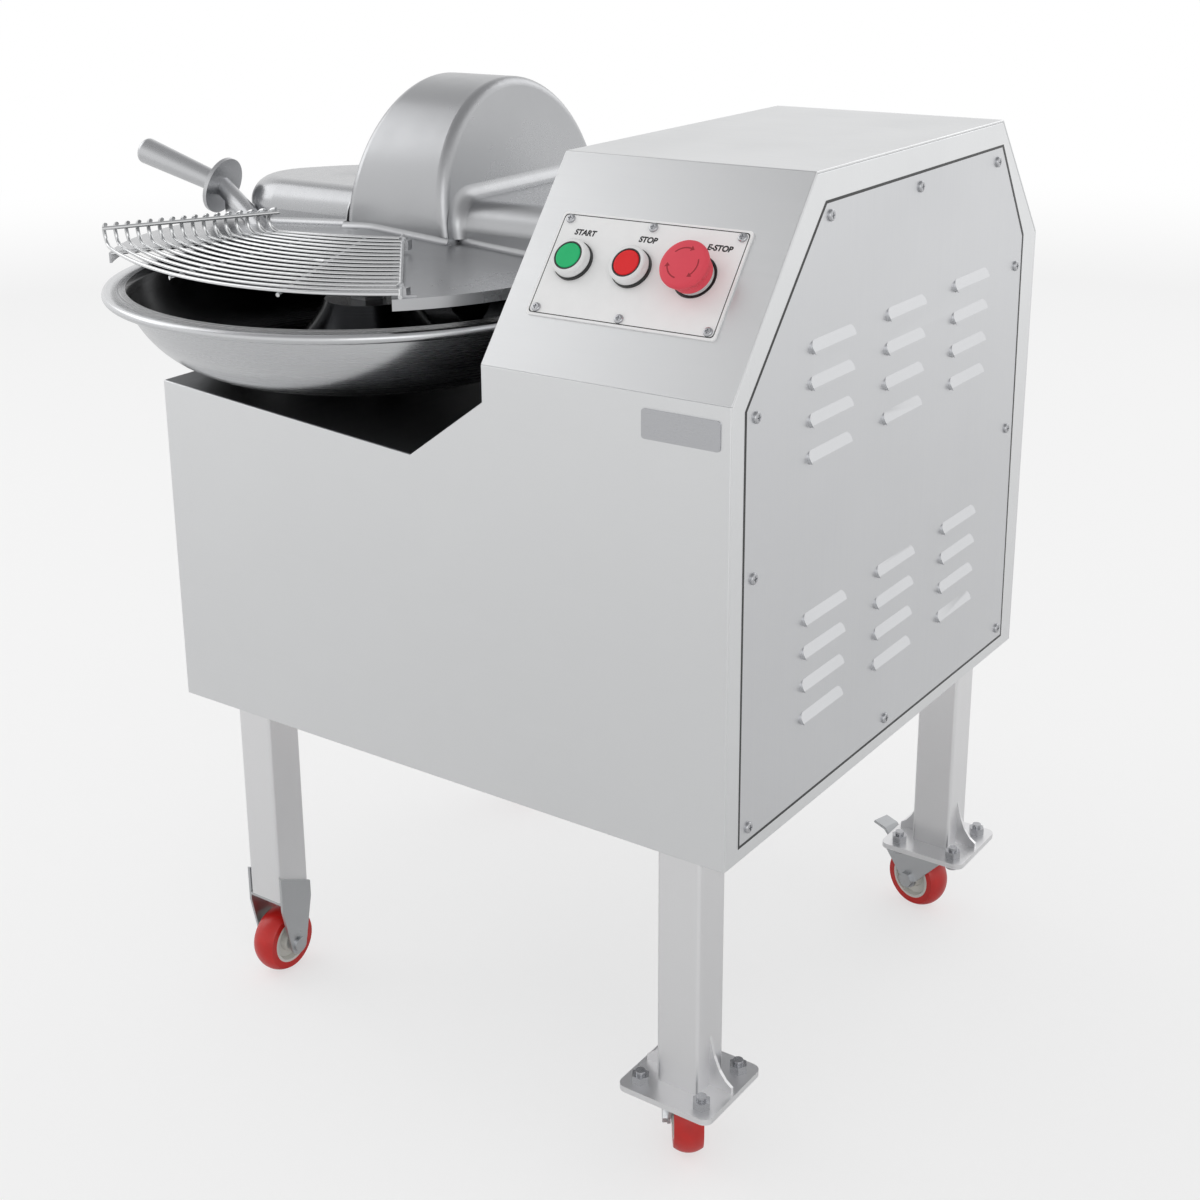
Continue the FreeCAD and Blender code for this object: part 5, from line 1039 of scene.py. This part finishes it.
@dataclass
class Lid(Assembly):
    """The lid's finish and the soft blends where its raised shapes grow out of the plate.

    Attributes:
        axis: The bowl's axis in plan.
        radius: The plate's radius.
        edge_z: Top of the plate at its edge.
        peak: How far the conical plate rises to its middle.
        hump_y: Front face of the hump over the trough.
        hump_corner: Radius of its round front left corner.
        hump_edge: From the plate's edge to the hump's back.
        hump_z: The hump's top.
        hump_round: Rounding along its top.
        hump_right: Its right end.
        fender: Left and right side of the knife fender at its foot.
        fender_y: Front of the fender.
        fender_foot: Height up to which the fender keeps its full width.
        fender_lean: How far a side leans in per mm of height.
        blend: Radius of the blend between hump and fender.
        blend_rise: How far over the fender's foot that blend starts.
        foot_blend: Radius of the blend between plate and hump.
        foot_end: Where the hump's foot blend ends at the back, in degrees round the bowl's axis.
        blend_back: How far a blend reaches behind its corner line, as a share of its radius.
    """

    axis: tuple[float, float] = BOWL_AXIS
    radius: float = 222.0
    edge_z: float = 394.0
    peak: float = 15.0
    hump_y: float = 168.0
    hump_corner: float = 60.0
    hump_edge: float = 10.0
    hump_z: float = 437.0
    hump_round: float = 24.0
    hump_right: float = 343.0
    fender: tuple[float, float] = (75.0, 193.0)
    fender_y: float = 154.0
    fender_foot: float = 400.0
    fender_lean: float = 18.0 / 131.0
    blend: float = 11.0
    blend_rise: float = 6.0
    foot_blend: float = 5.0
    foot_end: float = 92.0
    blend_back: float = 0.04

    def plate_z(self, plan: np.ndarray) -> np.ndarray:
        """Height of the conical plate: edge + peak (1 - distance from the bowl's axis / radius)."""
        return self.edge_z + self.peak * (1.0 - np.hypot(*(plan - self.axis).T) / self.radius)

    def hollow_fillet(self, path: np.ndarray, side: np.ndarray, rise: np.ndarray, radius: float) -> Mesh:
        """Fill the corner between a surface and a wall with a hollow quarter round along a path.

        At angle t a point is path + radius (1 - sin t) side + radius (1 - cos t) rise. A point a
        little behind the corner line closes the section.

        Args:
            path: Points of the corner line.
            side: For each point, the way off the wall along the surface.
            rise: For each point, the way up the wall.
            radius: The quarter round's radius.

        Returns:
            The fillet's mesh.
        """
        t = np.linspace(0.0, math.pi / 2, 7)[None, :, None]
        out = (1 - np.sin(t)) * side[:, None] + (1 - np.cos(t)) * rise[:, None]
        behind = path - self.blend_back * radius * (side + rise)
        points = np.concatenate([path[:, None] + radius * out, behind[:, None]], axis=1)
        return grid_mesh("blend", self.space.points(points), round_columns=True, caps=True)

    def fender_blend(self, wall: float, sign: float) -> Mesh:
        """Blend one side of the fender into the hump, up its front, over its top and down its back.

        Args:
            wall: The side's place at the fender's foot.
            sign: The side's outward way, one to the right.

        Returns:
            The blend's mesh.
        """
        r, top, low = self.hump_round, self.hump_z, self.fender_foot + self.blend_rise
        front_y, back_y = self.hump_y, self.axis[1] + self.radius - self.hump_edge
        steps, over = 12, np.linspace(front_y + r, back_y - r, 24)[1:-1]
        turn = np.radians(np.concatenate([[180.0], np.linspace(180.0, 90.0, steps), np.full(len(over), 90.0),
                                          np.linspace(90.0, 0.0, steps), [0.0]]))
        y, z = np.concatenate([[[front_y, low]], arc((front_y + r, top - r), r, 180, 90, steps),
                               np.column_stack([over, np.full(len(over), top)]),
                               arc((back_y - r, top - r), r, 90, 0, steps), [[back_y, low]]]).T
        path = np.column_stack([wall - sign * self.fender_lean * (z - self.fender_foot), y, z])
        rise = np.column_stack([-sign * self.fender_lean * np.sin(turn), np.cos(turn), np.sin(turn)])
        side = np.tile([sign, 0.0, 0.0], (len(path), 1))
        return self.hollow_fillet(path, side, rise, self.blend)

    def foot_strip(self, line: np.ndarray, out: np.ndarray) -> Mesh:
        """Blend a wall that stands on the plate into it.

        The way off the wall falls with the plate: its z is the plate's height a radius further out
        less its height at the wall.

        Args:
            line: Foot of the wall in plan.
            out: The wall's outward way in plan, one for all points or one for each.

        Returns:
            The blend's mesh.
        """
        r = self.foot_blend
        out = np.broadcast_to(out, line.shape)
        z = self.plate_z(line)
        side = np.column_stack([out, (self.plate_z(line + r * out) - z) / r])
        rise = np.tile([0.0, 0.0, 1.0], (len(line), 1))
        return self.hollow_fillet(np.column_stack([line, z]), side, rise, r)

    def foot_blends(self) -> list[Mesh]:
        """Blend the hump's and the fender's feet into the plate.

        Returns:
            The blends' meshes.
        """
        axis, edge_r = np.array(self.axis), self.radius - self.hump_edge
        left, right = self.fender
        middle_y = self.hump_y + self.hump_corner
        across = math.sqrt((edge_r - self.hump_corner) ** 2 - (middle_y - axis[1]) ** 2)
        middle = np.array([axis[0] - across, middle_y])
        meet = math.degrees(math.atan2(middle_y - axis[1], -across))
        corner = arc(middle, self.hump_corner, 270, meet, 24)
        around = arc(axis, edge_r, meet, self.foot_end, 36)[1:]
        line = np.concatenate([[[left, self.hump_y]], corner, around])
        out = np.concatenate([[[0.0, -1.0]], (corner - middle) / self.hump_corner, (around - axis) / edge_r])
        meshes = [self.foot_strip(line, out)]
        for x0, y0, x1, y1, way, steps in (
                (right, self.hump_y, self.hump_right, self.hump_y, (0.0, -1.0), 12),
                (left, self.fender_y, right, self.fender_y, (0.0, -1.0), 12),
                (left, self.fender_y, left, self.hump_y, (-1.0, 0.0), 4),
                (right, self.fender_y, right, self.hump_y, (1.0, 0.0), 4)):
            meshes.append(self.foot_strip(np.linspace((x0, y0), (x1, y1), steps), np.array(way)))
        return meshes

    def build(self) -> None:
        """Dress the lid and its guard, and lay the lid's blends."""
        self.dresser.paint(self.finishes.lid_plate, "lid")
        self.dresser.paint(self.finishes.handle_bar, "lid_handle")
        sides = [self.fender_blend(wall, sign) for wall, sign in zip(self.fender, (-1.0, 1.0))]
        mesh = joined_mesh("lid_blends", sides + self.foot_blends())
        smooth(mesh)
        fitted("lid_blends", mesh, self.finishes.lid_plate, "lid")
        self.dresser.paint(self.finishes.bright_wire, "wire_guard")
        self.dresser.paint(self.finishes.turned_steel, "guard_clips")


@dataclass
class Cabinet(Assembly):
    """The sheet-metal body: skins, tower, deck, service panel, screws and small fittings.

    Attributes:
        skin_edge: Rounding of the folded skins' edges in mm.
        frame_edge: Rounding of the side frame's and the service panel's edges in mm.
        side_x: Outer face of the right side.
        panel: The service panel's outline as (y, z).
        gap_shadow_w: Width of the black strip in the gap round the panel, painted shadow of that gap.
        gap_shadow_proud: How far it stands out of the gap.
        gap_shadow_section: Corners of its section, as shares of its width outwards and of its height.
        gap_shadow_mitre: How much further a corner moves out than the seal's sides, to keep their width.
    """

    skin_edge: float = 0.6
    frame_edge: float = 0.5
    side_x: float = 560.0
    panel: tuple[tuple[float, float], ...] = ((21.0, 12.0), (505.0, 12.0), (497.0, 392.0), (441.0, 476.0),
                                              (128.0, 474.0), (20.0, 346.0))
    gap_shadow_w: float = 2.0
    gap_shadow_proud: float = 0.15
    gap_shadow_section: tuple[tuple[float, float], ...] = ((-0.35, -0.4), (-0.35, 1.0), (0.65, 1.0), (0.65, -0.4))
    gap_shadow_mitre: float = 1.4

    def panel_gap_shadow(self) -> None:
        """Lay a black strip along the gap round the service panel, as painted shadow in the gap.

        A point is middle + (corner - middle) (1 + mitre w / reach), with w across the strip and reach
        the corner's distance from the middle.
        """
        corners = np.array(self.panel)
        middle = corners.mean(axis=0)
        reach = np.linalg.norm(corners - middle, axis=1, keepdims=True)
        rows = []
        for across, height in self.gap_shadow_section:
            flat = middle + (corners - middle) * (1.0 + self.gap_shadow_mitre * across * self.gap_shadow_w / reach)
            rows.append(np.column_stack([np.full(len(flat), self.side_x + height * self.gap_shadow_proud), flat]))
        mesh = grid_mesh("panel_gap_shadow", self.space.points(np.stack(rows)), round_rows=True, round_columns=True)
        # The strip is painted shadow, in the rings' black finish.
        fitted("panel_gap_shadow", mesh, self.finishes.black_nylon_and_gap_shadow)

    def build(self) -> None:
        """Dress the cabinet."""
        soften, paint, finishes = self.dresser.soften, self.dresser.paint, self.finishes
        soften(finishes.front_sheet, self.skin_edge, "front_panel", "left_panel", "rear_panel", "tower_wall")
        soften(finishes.tower_sheet, self.skin_edge, "tower_cover")
        soften(finishes.frame_sheet, self.frame_edge, "side_frame")
        soften(finishes.side_sheet, self.frame_edge, "service_panel")
        # The deck's dark colour is painted shade from the bowl above it.
        soften(finishes.deck_sheet, self.skin_edge, "deck_tray")
        paint(finishes.tag_steel, "name_plate")
        paint(finishes.screw_steel, "screws", "foot_bolts")
        paint(finishes.turned_steel, "inner_frame", "bottom_plate")
        paint(finishes.gland_black, "cable_gland")
        self.panel_gap_shadow()


@dataclass
class Bowl(Assembly):
    """The turning bowl with its spindle and the deck's seal.

    Attributes:
        centre: Middle of the trough's ring in machine mm.
        ring: Radius of the trough's ring in mm.
    """

    centre: tuple[float, float, float] = (*BOWL_AXIS, 369.0)
    ring: float = 120.0

    def build(self) -> None:
        """Dress the bowl, with a darker colour in its trough as painted shade."""
        finishes = self.finishes
        self.dresser.shade_hollow("bowl", finishes.spun_bowl, finishes.bowl_inside_painted_shade, self.space.at(*self.centre),
                              self.ring * MM)
        self.dresser.paint(finishes.turned_steel, "bowl_spindle", "bowl_nut", "deck_seal")
        self.dresser.paint(finishes.gear_enamel, "bowl_gear_motor")


@dataclass
class KnifeDrive(Assembly):
    """The knife shaft, its housing, the belts and the motor."""

    def build(self) -> None:
        """Dress the knife's drive."""
        paint, finishes = self.dresser.paint, self.finishes
        paint(finishes.turned_steel, "bearing_housing", "shaft_bearings", "knife_shaft", "motor_rails",
              "hinge_bracket", "hinge_rod")
        paint(finishes.ground_knife, "knives", "knife_fixings")
        paint(finishes.cast_pulley, "shaft_pulley", "motor_rotor")
        paint(finishes.motor_enamel, "main_motor")
        paint(finishes.belt_rubber, "drive_belts")
        paint(finishes.box_plastic, "electrical_box", "switch_blocks")


@dataclass
class RunningGear(Assembly):
    """Legs, forks, brakes and wheels.

    Attributes:
        corners: The four legs' names.
        swivels: The two of them whose casters swivel.
    """

    corners: tuple[str, ...] = ("front_left", "back_left", "front_right", "back_right")
    swivels: tuple[str, ...] = ("front_right", "back_right")

    def build(self) -> None:
        """Dress the running gear."""
        paint, finishes = self.dresser.paint, self.finishes
        paint(finishes.zinc_plate, "fixed_forks", "caster_plates")
        for corner in self.corners:
            paint(finishes.leg_tube, "leg_" + corner)
            paint(finishes.tread_red, "wheel_tread_" + corner)
            paint(finishes.hub_white, "wheel_hub_" + corner)
        for corner in self.swivels:
            paint(finishes.zinc_plate, "swivel_fork_" + corner, "brake_pedal_" + corner)


def main() -> None:
    """Build the machine's looks, part by part."""
    logging.basicConfig(level=logging.INFO, format="%(message)s")
    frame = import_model()
    bpy.context.scene.view_settings.view_transform = "Standard"
    space = MachineSpace.from_frame()
    finishes = Finishes(space.at(*BOWL_AXIS, 0.0)[:2])
    dresser = Dresser(frame["nodes"])
    for part in (Cabinet, Bowl, Lid, KnifeDrive, Controls, RunningGear):
        part(space, finishes, dresser).build()
        LOG.info("built %s", part.__name__)
    Studio().build(space)


if __name__ == "__main__":
    main()
